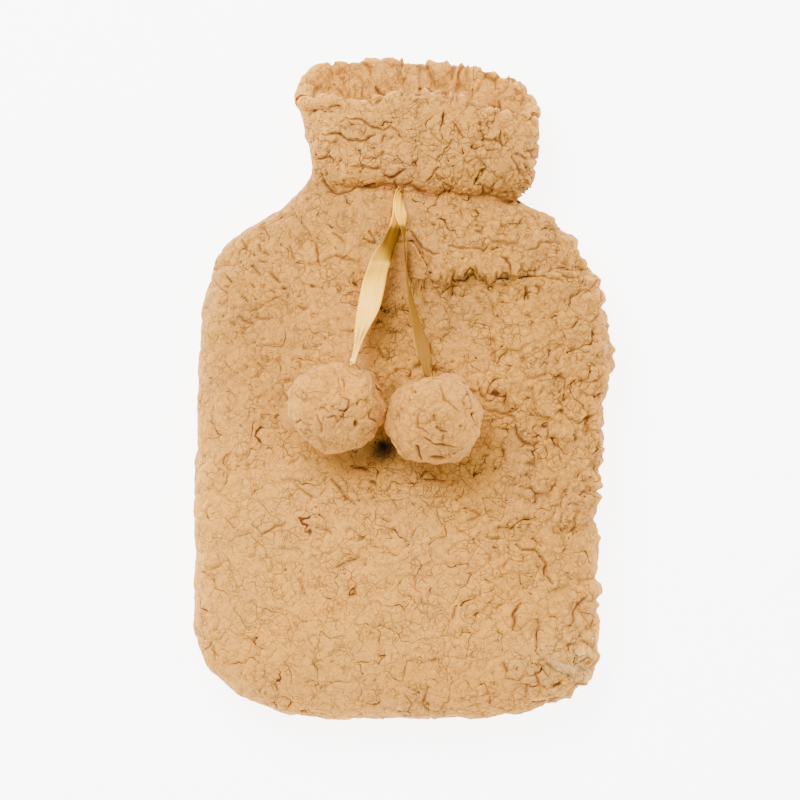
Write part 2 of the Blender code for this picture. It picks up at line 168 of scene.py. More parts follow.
Rim = namedtuple("Rim", "name x rise")
FRONT_RIM = (
    Rim("left seam", -58.0, 0.0),
    Rim("left dip", -36.0, -2.5),
    Rim("left", -16.0, -0.5),
    Rim("top", 10.0, 5.0),
    Rim("right", 34.0, 2.5),
    Rim("right dip", 54.0, -2.0),
    Rim("right seam", 74.0, 0.0),
)

Wave = namedtuple("Wave", "along_x along_y along_z phase share")
WAVES = (
    Wave(25.0, 58.0, 40.0, 0.10, 0.36),
    Wave(-37.0, 27.0, 52.0, 0.45, 0.34),
    Wave(66.0, -24.0, 31.0, 0.80, 0.30),
)

Station = namedtuple("Station", "name x y lift turn width")
LEFT_TAIL = (
    Station("in the slit", -1.9, 104.0, -4.5, 88.0, 6.5),
    Station("slit mouth", -1.9, 103.8, 2.0, 84.0, 7.0),
    Station("bend", -1.9, 100.5, 9.4, 60.0, 9.0),
    Station("band", -1.9, 94.5, 9.6, 50.0, 10.0),
    Station("parting", -3.4, 86.5, 8.8, 56.0, 11.0),
    Station("turning", -7.6, 76.0, 8.2, 60.0, 12.0),
    Station("over the hem", -11.8, 67.0, 8.4, 30.0, 12.0),
    Station("open face", -14.6, 58.0, 12.6, 14.0, 12.0),
    Station("face", -17.4, 45.0, 15.0, -12.0, 12.0),
    Station("closing", -20.9, 33.5, 17.5, -42.0, 11.0),
    Station("drawn in", -23.8, 22.5, 20.5, -66.0, 8.0),
    Station("at the pompom", -26.5, 13.3, 23.5, -72.0, 4.5),
)
RIGHT_TAIL = (
    Station("in the slit", -0.9, 103.6, -4.5, 88.0, 6.0),
    Station("slit mouth", -0.9, 103.4, 1.5, 84.0, 6.5),
    Station("bend", -0.9, 100.2, 8.4, 60.0, 8.5),
    Station("band", -0.9, 94.5, 8.8, 50.0, 10.0),
    Station("parting", -0.2, 86.0, 8.6, 74.0, 11.5),
    Station("edge on", 0.7, 77.0, 9.0, 86.0, 12.0),
    Station("over the hem", 1.7, 66.0, 10.5, 88.0, 12.0),
    Station("falling", 2.9, 55.0, 14.0, 81.0, 12.0),
    Station("opening", 4.4, 47.5, 15.0, 74.0, 12.0),
    Station("half open", 6.1, 40.0, 16.0, 68.0, 12.0),
    Station("face", 8.0, 32.0, 17.0, 61.0, 12.0),
    Station("widest", 9.8, 25.0, 18.0, 50.0, 12.0),
    Station("drawn in", 11.6, 17.8, 20.0, 46.0, 10.5),
    Station("gathered", 12.4, 11.0, 22.5, 52.0, 7.5),
    Station("at the pompom", 12.9, 6.7, 24.5, 56.0, 5.0),
)

Pompom = namedtuple("Pompom", "name node x y half_x half_y half_z rest seed")
POMPOMS = (
    Pompom("pompom_fleece_left", "pompom_left", -34.5, -9.3, 25.8, 23.2, 22.5, 2.2, 41),
    Pompom("pompom_fleece_right", "pompom_right", 16.9, -15.6, 25.6, 24.4, 23.0, 1.3, 57),
)

Crease = namedtuple("Crease", "width strength points")


def crease_table(*rows):
    """Creases from rows of a width, a strength and then the x and y of each point."""
    return tuple(Crease(*row[:2], np.reshape(row[2:], (-1, 2))) for row in rows)


# The main creases between clumps on the front. Each row is one crease:
# half its width, its strength, which says how deep and dark it is, and the x and y of
# each point that it bends at. All but the strength is in millimetres
# A crease's darkness is painted shade put in its colour; its depth is cut in the cloth
CREASES = crease_table(
    # The rim
    (0.7, 0.7, -50.7, 144.8, -48.0, 147.7, -44.6, 148.6),
    (0.8, 0.8, -36.0, 162.3, -33.2, 159.5, -30.8, 157.1),
    (0.7, 0.6, -28.5, 161.9, -28.5, 156.1),
    (0.7, 0.6, -20.9, 164.2, -20.0, 154.3),
    (1.2, 1.0, -15.2, 163.2, -12.4, 160.0, -8.2, 156.1),
    (0.8, 0.8, -6.7, 163.2, -4.8, 159.5),
    (1.1, 1.0, 8.4, 161.9, 13.6, 161.4, 17.4, 158.0, 24.5, 159.0),
    (0.8, 0.8, 34.0, 157.1, 37.3, 152.4),
    (0.7, 0.6, 41.5, 165.1, 40.6, 159.5),
    (0.9, 1.0, 45.3, 152.9, 50.1, 150.9, 52.9, 147.7),
    (0.8, 0.8, 47.7, 168.5, 50.1, 160.9),
    (0.9, 0.9, 51.9, 155.7, 52.4, 147.7),
    (0.7, 1.0, 56.7, 150.0, 65.7, 143.9),
    # The collar
    (0.7, 1.0, -42.7, 135.7, -34.2, 135.7, -28.9, 132.5, -22.0, 131.4, -14.6, 134.1),
    (0.9, 0.9, -42.7, 124.0, -37.5, 122.6, -37.9, 120.2),
    (0.7, 0.9, -30.5, 144.7, -20.9, 143.1, -15.6, 137.8, -10.3, 137.3, -6.1, 139.4, -1.3, 136.7),
    (0.8, 0.8, -27.3, 118.7, -19.9, 118.2, -11.9, 117.1),
    (0.7, 0.8, -20.9, 122.4, -14.0, 122.4, -8.7, 126.7),
    (0.6, 0.6, -1.3, 134.1, 6.6, 133.6, 15.1, 132.0),
    (0.9, 1.0, 1.9, 117.1, -2.4, 114.5, -6.6, 111.8, -9.8, 112.9),
    (0.7, 0.8, 12.5, 109.7, 19.3, 118.7),
    (0.7, 0.7, 15.5, 136.3, 20.2, 130.6, 25.0, 130.1, 26.4, 132.5),
    (0.7, 0.9, 26.2, 142.6, 32.6, 133.6),
    (0.7, 0.7, 34.2, 119.8, 39.5, 123.0, 44.3, 118.7, 41.6, 113.4),
    (0.8, 0.9, 42.1, 132.0, 49.6, 132.5, 53.8, 129.3),
    (0.8, 0.9, 52.4, 138.2, 51.9, 132.5, 53.4, 128.7),
    (0.9, 0.8, 58.0, 124.0, 62.3, 115.0),
    (0.8, 0.8, 60.0, 124.9, 65.2, 122.6),
    # Where the neck is drawn in, and the yoke
    (0.6, 0.8, -85.6, 80.3, -83.6, 77.0, -80.5, 73.6),
    (0.7, 0.9, -76.8, 77.0, -75.1, 74.9, -75.8, 73.6),
    (0.7, 0.8, -74.8, 80.0, -73.8, 78.3),
    (0.6, 0.8, -74.8, 72.9, -72.1, 72.9, -70.0, 70.9),
    (0.8, 0.8, -74.5, 87.5, -70.2, 81.1),
    (0.6, 0.8, -59.9, 77.0, -57.9, 70.9, -56.2, 68.2),
    (0.5, 0.7, -59.3, 85.2, -58.3, 79.5),
    (0.5, 0.7, -54.5, 79.5, -53.6, 73.8),
    (0.5, 0.7, -52.2, 88.0, -48.4, 80.5),
    (0.7, 1.0, -46.7, 79.0, -44.7, 72.2, -43.7, 65.5),
    (0.5, 0.8, -45.5, 81.4, -44.1, 78.5),
    (0.9, 0.9, -43.2, 115.5, -40.9, 110.5, -39.4, 106.9, -36.5, 104.6, -33.7, 104.1, -29.0, 105.5,
     -25.2, 106.9),
    (0.5, 0.7, -37.9, 86.1, -35.6, 83.7),
    (0.6, 0.8, -36.9, 83.0, -34.2, 81.7, -30.5, 77.6),
    (0.7, 0.6, -36.3, 89.6, -31.0, 83.2, -29.4, 83.7),
    (0.5, 0.7, -31.3, 86.1, -29.9, 83.3),
    (1.0, 1.0, -20.5, 108.9, -17.6, 108.4, -13.8, 108.9),
    (0.6, 0.8, -18.1, 83.7, -14.8, 80.5),
    (0.7, 0.9, -17.3, 84.4, -14.9, 80.3, -15.3, 78.0, -20.0, 79.0),
    (0.6, 0.9, -5.1, 96.5, -5.3, 90.8),
    (0.6, 0.9, -3.9, 111.7, -2.9, 105.0),
    (1.0, 1.0, -3.6, 86.5, -3.3, 81.5),
    (0.9, 0.9, 4.0, 84.8, 5.6, 81.6, 10.9, 75.3, 16.2, 72.1, 21.5, 72.6),
    (0.7, 0.7, 20.4, 110.8, 26.2, 107.1),
    (0.8, 0.9, 24.0, 77.1, 30.0, 75.6, 36.3, 74.8, 43.0, 73.8, 46.7, 76.6),
    (0.8, 0.9, 38.7, 83.5, 41.5, 83.2),
    (0.9, 0.9, 42.0, 107.9, 42.5, 103.1),
    (0.8, 0.7, 44.3, 81.6, 48.5, 77.9, 59.6, 76.3, 63.3, 74.7),
    (0.8, 0.8, 47.4, 79.5, 53.0, 78.6, 62.3, 76.9),
    (0.8, 0.8, 62.6, 75.2, 65.6, 73.7, 70.8, 75.2, 73.0, 78.1, 86.4, 78.9),
    # Over and under the hem
    (0.6, 0.7, -97.4, 62.1, -97.1, 58.0, -95.0, 55.6),
    (0.8, 0.9, -90.0, 56.0, -89.0, 54.0),
    (0.8, 1.0, -87.3, 61.0, -85.2, 57.0),
    (0.7, 0.9, -78.8, 72.2, -78.2, 70.2),
    (0.6, 0.9, -75.8, 69.2, -72.1, 64.8, -69.4, 61.4, -69.4, 59.4),
    (0.8, 1.0, -75.8, 57.3, -75.8, 54.3),
    (0.7, 0.9, -68.4, 53.3, -66.7, 51.3),
    (0.8, 1.0, -65.7, 63.4, -63.6, 61.4, -61.6, 56.7),
    (0.9, 1.0, -62.3, 53.3, -59.6, 53.6),
    (0.6, 0.9, -60.9, 52.9, -60.6, 47.2),
    (0.8, 0.6, -57.5, 67.3, -53.8, 66.8, -50.6, 63.6),
    (0.9, 1.0, -46.4, 55.0, -44.7, 53.6),
    (0.8, 0.7, -43.2, 66.8, -39.0, 69.4, -35.2, 70.5, -28.4, 68.4, -20.9, 67.3),
    (1.4, 1.0, -24.8, 56.0, -22.4, 55.7),
    (0.9, 0.8, 15.5, 71.0, 14.3, 66.0, 14.6, 62.5, 18.3, 59.1),
    (0.8, 1.0, 26.6, 63.5, 26.3, 60.5, 26.4, 57.0),
    (0.8, 0.9, 33.2, 64.0, 33.9, 61.0, 34.0, 58.0),
    (0.8, 1.0, 39.0, 64.5, 39.6, 61.5, 39.2, 58.5),
    (0.7, 0.9, 44.4, 62.5, 44.0, 60.0, 44.1, 57.5),
    (0.8, 0.9, 48.9, 63.0, 49.6, 60.5, 49.4, 57.5),
    (0.9, 1.0, 52.4, 70.5, 55.8, 69.1, 57.2, 65.3, 58.1, 62.5),
    (0.7, 0.8, 55.2, 62.5, 55.8, 60.0, 55.7, 57.5),
    (0.8, 0.9, 61.2, 62.5, 63.4, 63.2, 65.6, 61.0),
    (0.9, 1.0, 61.9, 55.1, 64.5, 52.1, 66.4, 49.9, 66.0, 47.6),
    (0.8, 0.9, 67.1, 55.4, 70.1, 55.1, 71.4, 52.1, 70.4, 50.2),
    (0.8, 0.8, 70.1, 65.5, 70.4, 60.3, 71.9, 58.4),
    (0.8, 0.8, 71.6, 59.1, 77.5, 58.4, 81.2, 56.2),
    (0.6, 0.6, 76.7, 73.7, 77.1, 66.9),
    (0.9, 0.9, 77.5, 63.2, 79.0, 60.6, 82.7, 59.9, 85.7, 60.3),
    (0.8, 0.8, 84.9, 65.1, 87.9, 62.5, 89.8, 58.8, 90.2, 55.8),
    (0.8, 0.8, 94.6, 63.2, 97.2, 59.5, 97.6, 55.1, 96.1, 51.4, 94.2, 48.8),
    # The chest, beside the tails
    (0.8, 0.9, -95.0, 40.4, -94.7, 38.4),
    (0.9, 0.9, -90.0, 35.4, -88.6, 34.8),
    (0.5, 0.6, -89.6, 43.1, -84.2, 43.5),
    (0.8, 0.9, -86.3, 39.4, -84.2, 37.0, -82.2, 35.4, -77.5, 35.0),
    (0.7, 0.9, -80.9, 42.5, -76.8, 43.1, -73.4, 44.5),
    (0.7, 0.8, -79.5, 40.4, -76.8, 38.1, -71.4, 37.4, -66.7, 39.4),
    (1.1, 1.0, -78.8, 25.5, -77.8, 24.5),
    (0.8, 0.9, -74.1, 27.6, -72.4, 25.9),
    (0.6, 0.8, -59.9, 16.4, -54.5, 14.7, -53.5, 11.3),
    (0.8, 0.9, -55.2, 44.5, -52.1, 42.5, -49.1, 43.1),
    (0.7, 0.8, -52.8, 24.9, -51.8, 22.2, -47.8, 22.8, -43.0, 24.2),
    (0.9, 0.9, -41.9, 27.6, -40.8, 26.8),
    (0.7, 0.8, -33.2, 38.4, -33.5, 36.4),
    (0.8, 0.8, -28.6, 39.9, -27.6, 38.9),
    (0.7, 0.9, -13.0, 23.3, -11.9, 18.6, -6.6, 14.8),
    (0.7, 0.8, -9.8, 33.4, -5.6, 30.2, 0.3, 31.3),
    (0.9, 1.0, 14.0, 24.4, 15.1, 21.2, 15.6, 18.0),
    (1.2, 1.0, 26.2, 15.2, 27.3, 14.6),
    (0.9, 0.9, 44.3, 27.6, 48.0, 27.0, 49.0, 24.9),
    (0.8, 0.8, 45.3, 23.9, 49.0, 20.1, 48.5, 14.8),
    (0.7, 0.8, 45.8, 49.8, 46.9, 46.1, 48.5, 39.2),
    (0.8, 0.9, 60.1, 48.2, 61.5, 46.5),
    (0.9, 1.0, 65.5, 40.3, 67.6, 38.4),
    # Level with the pompoms
    (0.6, 0.6, -98.3, -39.2, -93.0, -35.5, -82.9, -33.9, -81.4, -39.2, -81.9, -43.5, -83.5, -47.2),
    (0.6, 0.8, -91.0, 10.0, -88.3, 8.3, -85.6, 10.0),
    (0.5, 0.7, -78.8, 18.1, -73.4, 11.3, -75.4, 8.6, -77.5, 7.3, -84.2, 4.6),
    (0.6, 0.8, -69.4, 5.9, -67.3, 3.2),
    (0.7, 0.7, -61.2, -39.8, -57.5, -37.1, -53.8, -34.5),
    (0.9, 0.9, -55.5, 4.6, -55.2, 0.5),
    (0.9, 1.0, -28.4, -39.8, -22.5, -41.3, -16.7, -43.5),
    (3.4, 1.0, -12.0, -27.0, -10.0, -29.5, -8.5, -31.5),
    (0.9, 0.9, 32.1, 0.7, 35.9, 0.0, 39.6, -1.5),
    (0.9, 1.0, 39.2, 6.0, 39.6, 2.3, 41.1, -2.2, 44.8, -5.6, 48.1, -5.6, 49.6, -3.0),
    (0.9, 0.9, 43.3, -10.4, 49.2, -11.1, 53.7, -12.6, 60.4, -13.7),
    (0.8, 0.8, 51.5, -2.0, 54.5, -4.0, 56.5, -10.5, 59.5, -16.0),
    (0.9, 0.9, 53.3, -30.7, 54.3, -37.1),
    (0.9, 1.0, 59.3, -17.1, 60.0, -23.0, 63.4, -27.5, 70.1, -29.4, 73.4, -26.8),
    (0.7, 0.7, 63.3, 18.6, 62.8, 10.6, 67.6, 6.9, 75.5, 8.0, 76.6, 14.8),
    (0.7, 0.7, 68.4, 2.0, 69.6, -4.5, 70.9, -11.0),
    (0.9, 0.9, 70.8, -36.0, 69.7, -39.8, 63.9, -39.2),
    (0.8, 0.9, 76.0, -18.6, 77.5, -23.1, 76.7, -26.8),
    (0.8, 0.9, 77.5, 10.4, 79.7, 6.7, 83.5, 6.4, 87.9, 6.7),
    (0.8, 0.8, 83.5, 9.5, 86.7, 5.3, 85.6, 0.0),
    (0.8, 0.9, 86.1, -12.2, 87.2, -14.8, 92.5, -17.5, 98.3, -15.9, 103.1, -11.7),
    (0.8, 0.9, 90.9, -23.8, 93.1, -26.0, 91.6, -28.2),
    (0.8, 0.8, 92.4, 8.2, 96.1, 4.5, 101.3, 4.5, 105.0, 9.0),
    # Below the pompoms
    (0.7, 0.7, -103.1, -95.9, -99.4, -94.3, -94.1, -91.2),
    (0.7, 0.9, -76.1, -77.9, -70.8, -75.3, -66.5, -71.5, -62.8, -71.0, -61.2, -68.4),
    (0.7, 0.7, -61.7, -45.6, -55.9, -50.4, -50.6, -54.6, -48.0, -56.2, -50.1, -59.9),
    (0.7, 0.9, -46.4, -73.1, -42.1, -73.7, -36.8, -75.8),
    (0.8, 1.0, -38.4, -46.1, -34.2, -51.9, -31.0, -55.7, -25.7, -59.4),
    (0.7, 0.9, -29.9, -85.9, -27.8, -88.0, -24.6, -89.6, -31.0, -92.2, -36.8, -94.3),
    (0.6, 0.6, -26.2, -68.4, -24.6, -65.2, -22.0, -62.0),
    (0.9, 1.0, -17.2, -48.2, -13.5, -50.9),
    (0.7, 0.9, 7.7, -48.8, 12.5, -42.4, 19.3, -47.7, 24.1, -47.7, 29.9, -49.3),
    (0.6, 0.7, 31.5, -46.6, 34.7, -50.9, 39.5, -55.1),
    (0.7, 0.8, 33.1, -62.5, 42.1, -66.2, 34.2, -68.9),
    (0.7, 0.8, 41.1, -76.9, 46.4, -78.4, 51.7, -78.4),
    (0.7, 0.7, 46.9, -73.1, 59.1, -72.6, 59.6, -76.9, 56.4, -77.4),
    (0.8, 1.0, 57.5, -80.6, 63.9, -83.7, 70.8, -85.9, 73.4, -89.0, 76.1, -91.7, 74.5, -97.5, 80.3, -102.3),
    (0.8, 0.9, 58.6, -50.4, 68.6, -51.9, 70.8, -59.4),
    (0.7, 0.8, 68.6, -77.4, 74.5, -83.2),
    (0.8, 0.8, 80.8, -71.0, 85.6, -75.3),
    (1.0, 0.9, 91.4, -67.3, 90.4, -76.9),
    # The bottom
    (0.6, 0.8, -55.9, -98.6, -53.8, -101.8, -52.2, -106.0, -50.6, -109.7),
    (0.6, 0.7, 0.8, -161.1, 5.0, -166.4, 3.4, -171.2),
    (0.7, 0.8, 13.0, -154.2, 12.5, -161.1, 11.4, -167.5, 14.0, -170.1),
    (0.8, 0.9, 28.9, -114.0, 26.8, -121.4),
    (0.8, 0.9, 53.3, -144.2, 56.4, -149.5),
    (0.9, 1.0, 63.3, -112.4, 59.1, -118.2, 59.1, -123.0, 57.0, -128.3),
    (0.9, 0.9, 97.3, -109.7, 92.0, -116.6, 90.9, -121.9, 87.7, -126.7),
)
# The same on the pompoms: their creases are cut in and darkened with painted shade
POMPOM_CREASES = crease_table(
    # The left one
    (0.6, 0.6, -53.8, -20.4, -49.3, -23.4),
    (0.6, 0.7, -45.6, -13.4, -42.6, -17.5, -42.2, -22.7),
    (0.6, 0.7, -44.1, -9.7, -40.4, -9.7, -38.2, -11.9),
    (0.6, 0.7, -39.3, -15.2, -35.2, -13.8, -32.9, -18.2),
    (0.7, 0.8, -31.5, 7.8, -30.0, 4.8, -30.3, 1.1),
    (0.7, 0.8, -31.5, -3.3, -27.7, -5.6, -28.1, -8.5, -30.0, -11.1, -32.9, -10.8),
    (1.6, 1.0, -24.0, -16.4, -24.0, -19.7),
    (0.7, 0.7, -23.7, -6.3, -23.3, -8.5),
    (0.7, 0.6, -21.4, 0.0, -21.0, -2.6),
    (0.7, 0.8, -17.3, -10.0, -17.3, -14.5, -12.9, -17.1),
    # The right one
    (0.6, 0.6, -2.8, -8.5, -1.7, -17.5),
    (0.8, 0.9, 6.5, -0.7, 6.6, -2.2),
    (1.0, 1.0, 7.2, -27.9, 8.0, -30.9, 10.2, -36.1),
    (0.6, 0.7, 7.6, -13.8, 7.6, -19.7, 10.2, -20.8, 13.9, -23.8),
    (0.7, 0.9, 10.9, -25.3, 15.4, -28.3, 21.3, -29.4, 28.0, -30.5),
    (0.7, 0.9, 13.9, -36.1, 20.6, -37.2, 25.4, -37.9, 24.7, -34.6),
    (0.8, 0.8, 16.5, -12.6, 16.9, -16.7),
    (0.8, 0.8, 17.6, -19.0, 20.6, -21.9, 23.6, -21.9),
    (0.7, 0.7, 19.9, 2.6, 20.6, -0.4, 22.8, -4.8, 27.3, -9.3, 30.3, -11.5),
    (0.6, 0.7, 21.3, -23.4, 21.3, -27.9),
    (0.7, 0.7, 30.6, -19.0, 32.5, -19.3),
    (0.7, 0.7, 33.2, -5.6, 33.6, -7.8),
)

# The small torn tips of pile in the outline of the right side: how far each one
# reaches above and below its tip, and how far it stands out
Tuft = namedtuple("Tuft", "y above below out")
SIDE_TUFTS = (
    Tuft(77.8, 5.0, 2.4, 2.4),
    Tuft(67.4, 3.0, 1.8, 1.5),
    Tuft(56.0, 5.5, 2.0, 2.6),
    Tuft(47.6, 5.0, 2.0, 2.8),
    Tuft(34.0, 10.0, 3.0, 1.7),
    Tuft(21.5, 9.0, 2.4, 2.2),
    Tuft(13.0, 4.0, 8.0, 1.6),
    Tuft(-15.9, 9.0, 8.0, 1.0),
    Tuft(-32.1, 2.2, 1.8, 2.0),
    Tuft(-38.2, 2.4, 3.2, 2.2),
    Tuft(-51.7, 2.4, 1.8, 1.8),
    Tuft(-57.0, 2.8, 5.0, 2.6),
    Tuft(-79.4, 2.2, 2.2, 1.2),
    Tuft(-108.6, 7.0, 3.0, 2.6),
    Tuft(-115.0, 2.4, 1.8, 2.2),
    Tuft(-122.8, 4.0, 3.0, 1.6),
    Tuft(-142.0, 1.8, 6.0, 2.0),
    Tuft(-154.9, 7.0, 2.0, 3.2),
    Tuft(-162.0, 3.0, 2.0, 2.6),
)
CREASE_DEPTH = 1.5 * MM
CREASE_REACH = 3.5  # how far round a crease the cloth is looked at, in its widths

# The sizes and reaches of the noises that bend the creases, on the cloth and on a pompom
CLOTH_BENDS = ((6 * MM, 1.1 * MM), (2.6 * MM, 0.5 * MM))
POMPOM_BEND = (4 * MM, 0.6 * MM)

SIDE_LOBE = 17.0 * MM
SIDE_LOBE_DEPTH = 2.4 * MM
NEAR_SEAM = (0.84, 0.97)  # shares of the way from the middle to a side seam
AT_SEAM = (0.92, 0.99)
COLLAR_FOOT = (100 * MM, 112 * MM)

# The line where the ribbon draws the neck in, across the front
Neck = namedtuple("Neck", "x y")
NECK_CREASE = (
    Neck(-60.0, 104.0),
    Neck(-38.0, 104.6),
    Neck(-24.0, 108.0),
    Neck(-4.0, 109.5),
    Neck(3.0, 109.0),
    Neck(17.0, 102.6),
    Neck(24.0, 105.0),
    Neck(41.0, 104.6),
    Neck(55.0, 100.6),
    Neck(66.0, 99.0),
)
NECK_CREASE_WIDTH = 2.3 * MM
NECK_CREASE_DEPTH = 2.2 * MM
NECK_CREASE_FADE_Z = (22 * MM, 28 * MM)

# Where the pile looks unlike the rest, or gets painted shade, as soft ellipses on
# the front, in millimetres. Each adds to: knob, how round the clumps are; crack, how
# dark the painted shade in the lines between them is; nap, how far the pile is combed
# one way; shade, how much painted shade darkens it; pale, how worn and grey it is
Patch = namedtuple("Patch", "name x y half_x half_y knob crack nap shade pale")
PATCHES = (
    Patch("flat lower left", -56.0, -112.0, 62.0, 72.0, -0.3, -0.05, 0.0, -0.02, 0.0),
    Patch("flat bottom", 12.0, -135.0, 62.0, 42.0, -0.22, 0.05, 0.0, -0.02, 0.0),
    Patch("knobbly right side", 80.0, -12.0, 48.0, 90.0, 0.58, 0.34, 0.0, 0.1, 0.0),
    Patch("under the pompoms", 5.0, -62.0, 55.0, 30.0, 0.2, 0.2, 0.0, 0.02, 0.0),
    Patch("combed left shoulder", -82.0, 52.0, 34.0, 48.0, 0.05, 0.05, 1.0, 0.17, 0.0),
    Patch("combed yoke", -36.0, 94.0, 42.0, 18.0, -0.15, -0.05, 1.0, 0.15, 0.0),
    Patch("yoke right", 44.0, 80.0, 52.0, 22.0, 0.3, 0.2, 0.0, 0.08, 0.0),
    Patch("collar", 8.0, 132.0, 70.0, 26.0, 0.18, 0.42, 0.0, 0.0, 0.0),
    Patch("collar foot right", 46.0, 111.0, 24.0, 13.0, 0.25, 0.4, 0.0, 0.16, 0.0),
    Patch("collar foot left", -46.0, 109.0, 11.0, 13.0, 0.2, 0.3, 0.0, 0.16, 0.0),
    Patch("hollow under the ribbon", -1.5, 70.0, 6.0, 13.0, -1.0, -1.0, 0.0, 0.3, 0.0),
    Patch("between the tails", -5.0, 40.0, 15.0, 32.0, 0.4, 0.45, 0.0, 0.36, 0.0),
    Patch("between the pompoms", -9.5, -30.0, 9.0, 9.0, 0.2, 0.3, 0.0, 0.85, 0.0),
    Patch("between the pompoms, above", -4.5, 0.5, 5.5, 5.5, 0.1, 0.1, 0.0, 0.45, 0.0),
    Patch("far right under the hem", 86.0, 57.0, 18.0, 12.0, 0.3, 0.4, 0.0, 0.06, 0.0),
    Patch("shadow of the left pompom", -24.0, -35.0, 24.0, 8.5, 0.1, 0.2, 0.0, 0.42, 0.0),
    Patch("shadow of the right pompom", 20.0, -41.0, 22.0, 6.5, 0.1, 0.2, 0.0, 0.3, 0.0),
    Patch("right of the pompoms", 55.0, -18.0, 13.0, 22.0, 0.2, 0.2, 0.0, 0.14, 0.0),
    Patch("left of the pompoms", -67.0, -14.0, 8.0, 14.0, 0.0, 0.1, 0.0, 0.12, 0.0),
    Patch("under the hem", 42.0, 57.5, 26.0, 4.5, 0.15, 0.2, 0.0, 0.22, 0.0),
    Patch("below the hem", 30.0, 46.0, 30.0, 14.0, 0.35, 0.45, 0.0, 0.17, 0.0),
    Patch("beside the right tail", 22.0, 24.0, 16.0, 28.0, 0.3, 0.4, 0.0, 0.1, 0.0),
    Patch("mid left", -80.0, 0.0, 36.0, 42.0, 0.05, 0.05, 0.0, 0.12, 0.0),
    # Painted shade: the upper part is darkened as if it got less light
    Patch("upper part", 0.0, 105.0, 170.0, 70.0, 0.0, 0.0, 0.0, 0.11, 0.0),
    Patch("beside the left tail", -28.0, 58.0, 10.0, 10.0, 0.2, 0.4, 0.0, 0.12, 0.0),
    Patch("worn corner", 86.0, -148.0, 17.0, 16.0, 0.1, 0.1, 0.3, 0.0, 0.9),
)
PLAIN_KNOB = 0.42
PLAIN_CRACK = 0.55
PATCH_FADE_Z = (2 * MM, 14 * MM)  # no patches on the underside

# The middle that the frayed locks of the worn corner point away from, and the notches
# of painted shade between them: direction in degrees, distance and sizes in millimetres
FRAY_X = 66 * MM
FRAY_Y = -136 * MM
Notch = namedtuple("Notch", "angle far length width strength")
NOTCHES = (
    Notch(-72.0, 18.0, 5.0, 0.8, 0.9),
    Notch(-55.0, 17.0, 4.0, 0.7, 0.8),
    Notch(-40.0, 17.0, 3.5, 0.8, 0.9),
    Notch(-24.0, 21.0, 3.0, 0.7, 0.7),
    Notch(2.0, 24.0, 3.5, 0.8, 0.9),
    Notch(18.0, 25.0, 3.0, 0.6, 0.6),
    Notch(-90.0, 23.0, 3.0, 0.8, 0.8),
)

POMPOM_KNOB = 0.50
POMPOM_CRACK = 0.45
BROAD_LUMP, SMALL_LUMP = 15 * MM, 7 * MM
DRAWN_IN_REACH = 5.0 * MM

RIBBON_ROW = 0.8 * MM
RIBBON_COLUMNS = 13
PLEATS = 2.5  # across the ribbon, where it is gathered
PLEAT_HEIGHT = 1.1 * MM
THREAD_TURNS = 3
THREAD_RUN = 1.9 * MM
THREAD_HALF = 0.28 * MM

# The stage: half the floor's side, where the lights hang and how wide they are, the
# point that the camera looks down on, the height at which the view's width counts, and
# how far the camera sees
FLOOR_HALF = 2.5
KEY_PLACE, KEY_SIZE = (-0.50, 0.80, 1.40), 0.9
FILL_PLACE, FILL_SIZE = (0.9, -0.3, 1.5), 1.4
VIEW_MIDDLE = (-1.3 * MM, -5.3 * MM)
VIEW_HEIGHT = 45 * MM
VIEW_END = 20.0

# Every noise has a number of its own. Those of the curls count up from the pile's or
# the pompom's; the others, from 62 to 98, stand where they are used
PILE_SEED = 23
DIFFERENCE_S = 0.002
DIFFERENCE_Y = 0.2 * MM
FINE_STEPS = 721
ARC_ROWS = 9
COARSE_ROW = 6 * MM  # distance between two rows where nothing shows
BACK_COLUMNS, FRONT_COLUMNS, FLAP_COLUMNS = 198, 238, 300
BACK_PITCH, FRONT_PITCH, FLAP_PITCH = 1.25, 1.1, 0.75  # times the pitch in the settings
BODY_Y, YOKE_Y = -20 * MM, 90 * MM  # where a panel's columns lie at even distances

# How far down a panel's inner face its rows are fine, and where its pile fades out
BACK_FINE_Y, FRONT_FINE_Y, FLAP_FINE_Y = 112 * MM, 80 * MM, 128 * MM
BACK_INSIDE_FADE = (108 * MM, 118 * MM)
FLAP_INSIDE_FADE = (125 * MM, 132 * MM)
FLOOR_FADE_Z = (0.0, 3 * MM)
UNDER_HEM_FADE = (-4 * MM, -1 * MM)  # on the lower front, measured down from the hem

# Where the lobes of the collar's rim die out, to the left and right of the middle, and
# where those of the hem set in
RIM_LEFT_FADE = (36 * MM, 52 * MM)
RIM_RIGHT_FADE = (56 * MM, 68 * MM)
HEM_LOBES_FADE = (-8 * MM, 16 * MM)

# The dark of these creases and lines is painted shade, put in the colour where shade falls
CREASE_WIDTH = 0.75 * MM  # of the dark creases between the lobes of an edge
LINE_WIDTH = 0.55 * MM  # half the width of the widest dark line between two clumps
FAR_FROM_LINE = 5.0  # the most that the line values reach, in half line widths


# ---------------------------------------------------------------- sizes and colours


def pile_length(name, description, default):
    """A length in metres, shown in the add-on's panel."""
    return FloatProperty(name=name, description=description, default=default, unit="LENGTH", min=0.0)


def pile_colour(name, description, default):
    """A colour with its alpha."""
    return FloatVectorProperty(
        name=name, description=description, default=default, subtype="COLOR", size=4, min=0.0, max=1.0
    )


def share(name, description, default):
    """A number from 0 to 1."""
    return FloatProperty(
        name=name, description=description, default=default, subtype="FACTOR", min=0.0, max=1.0
    )


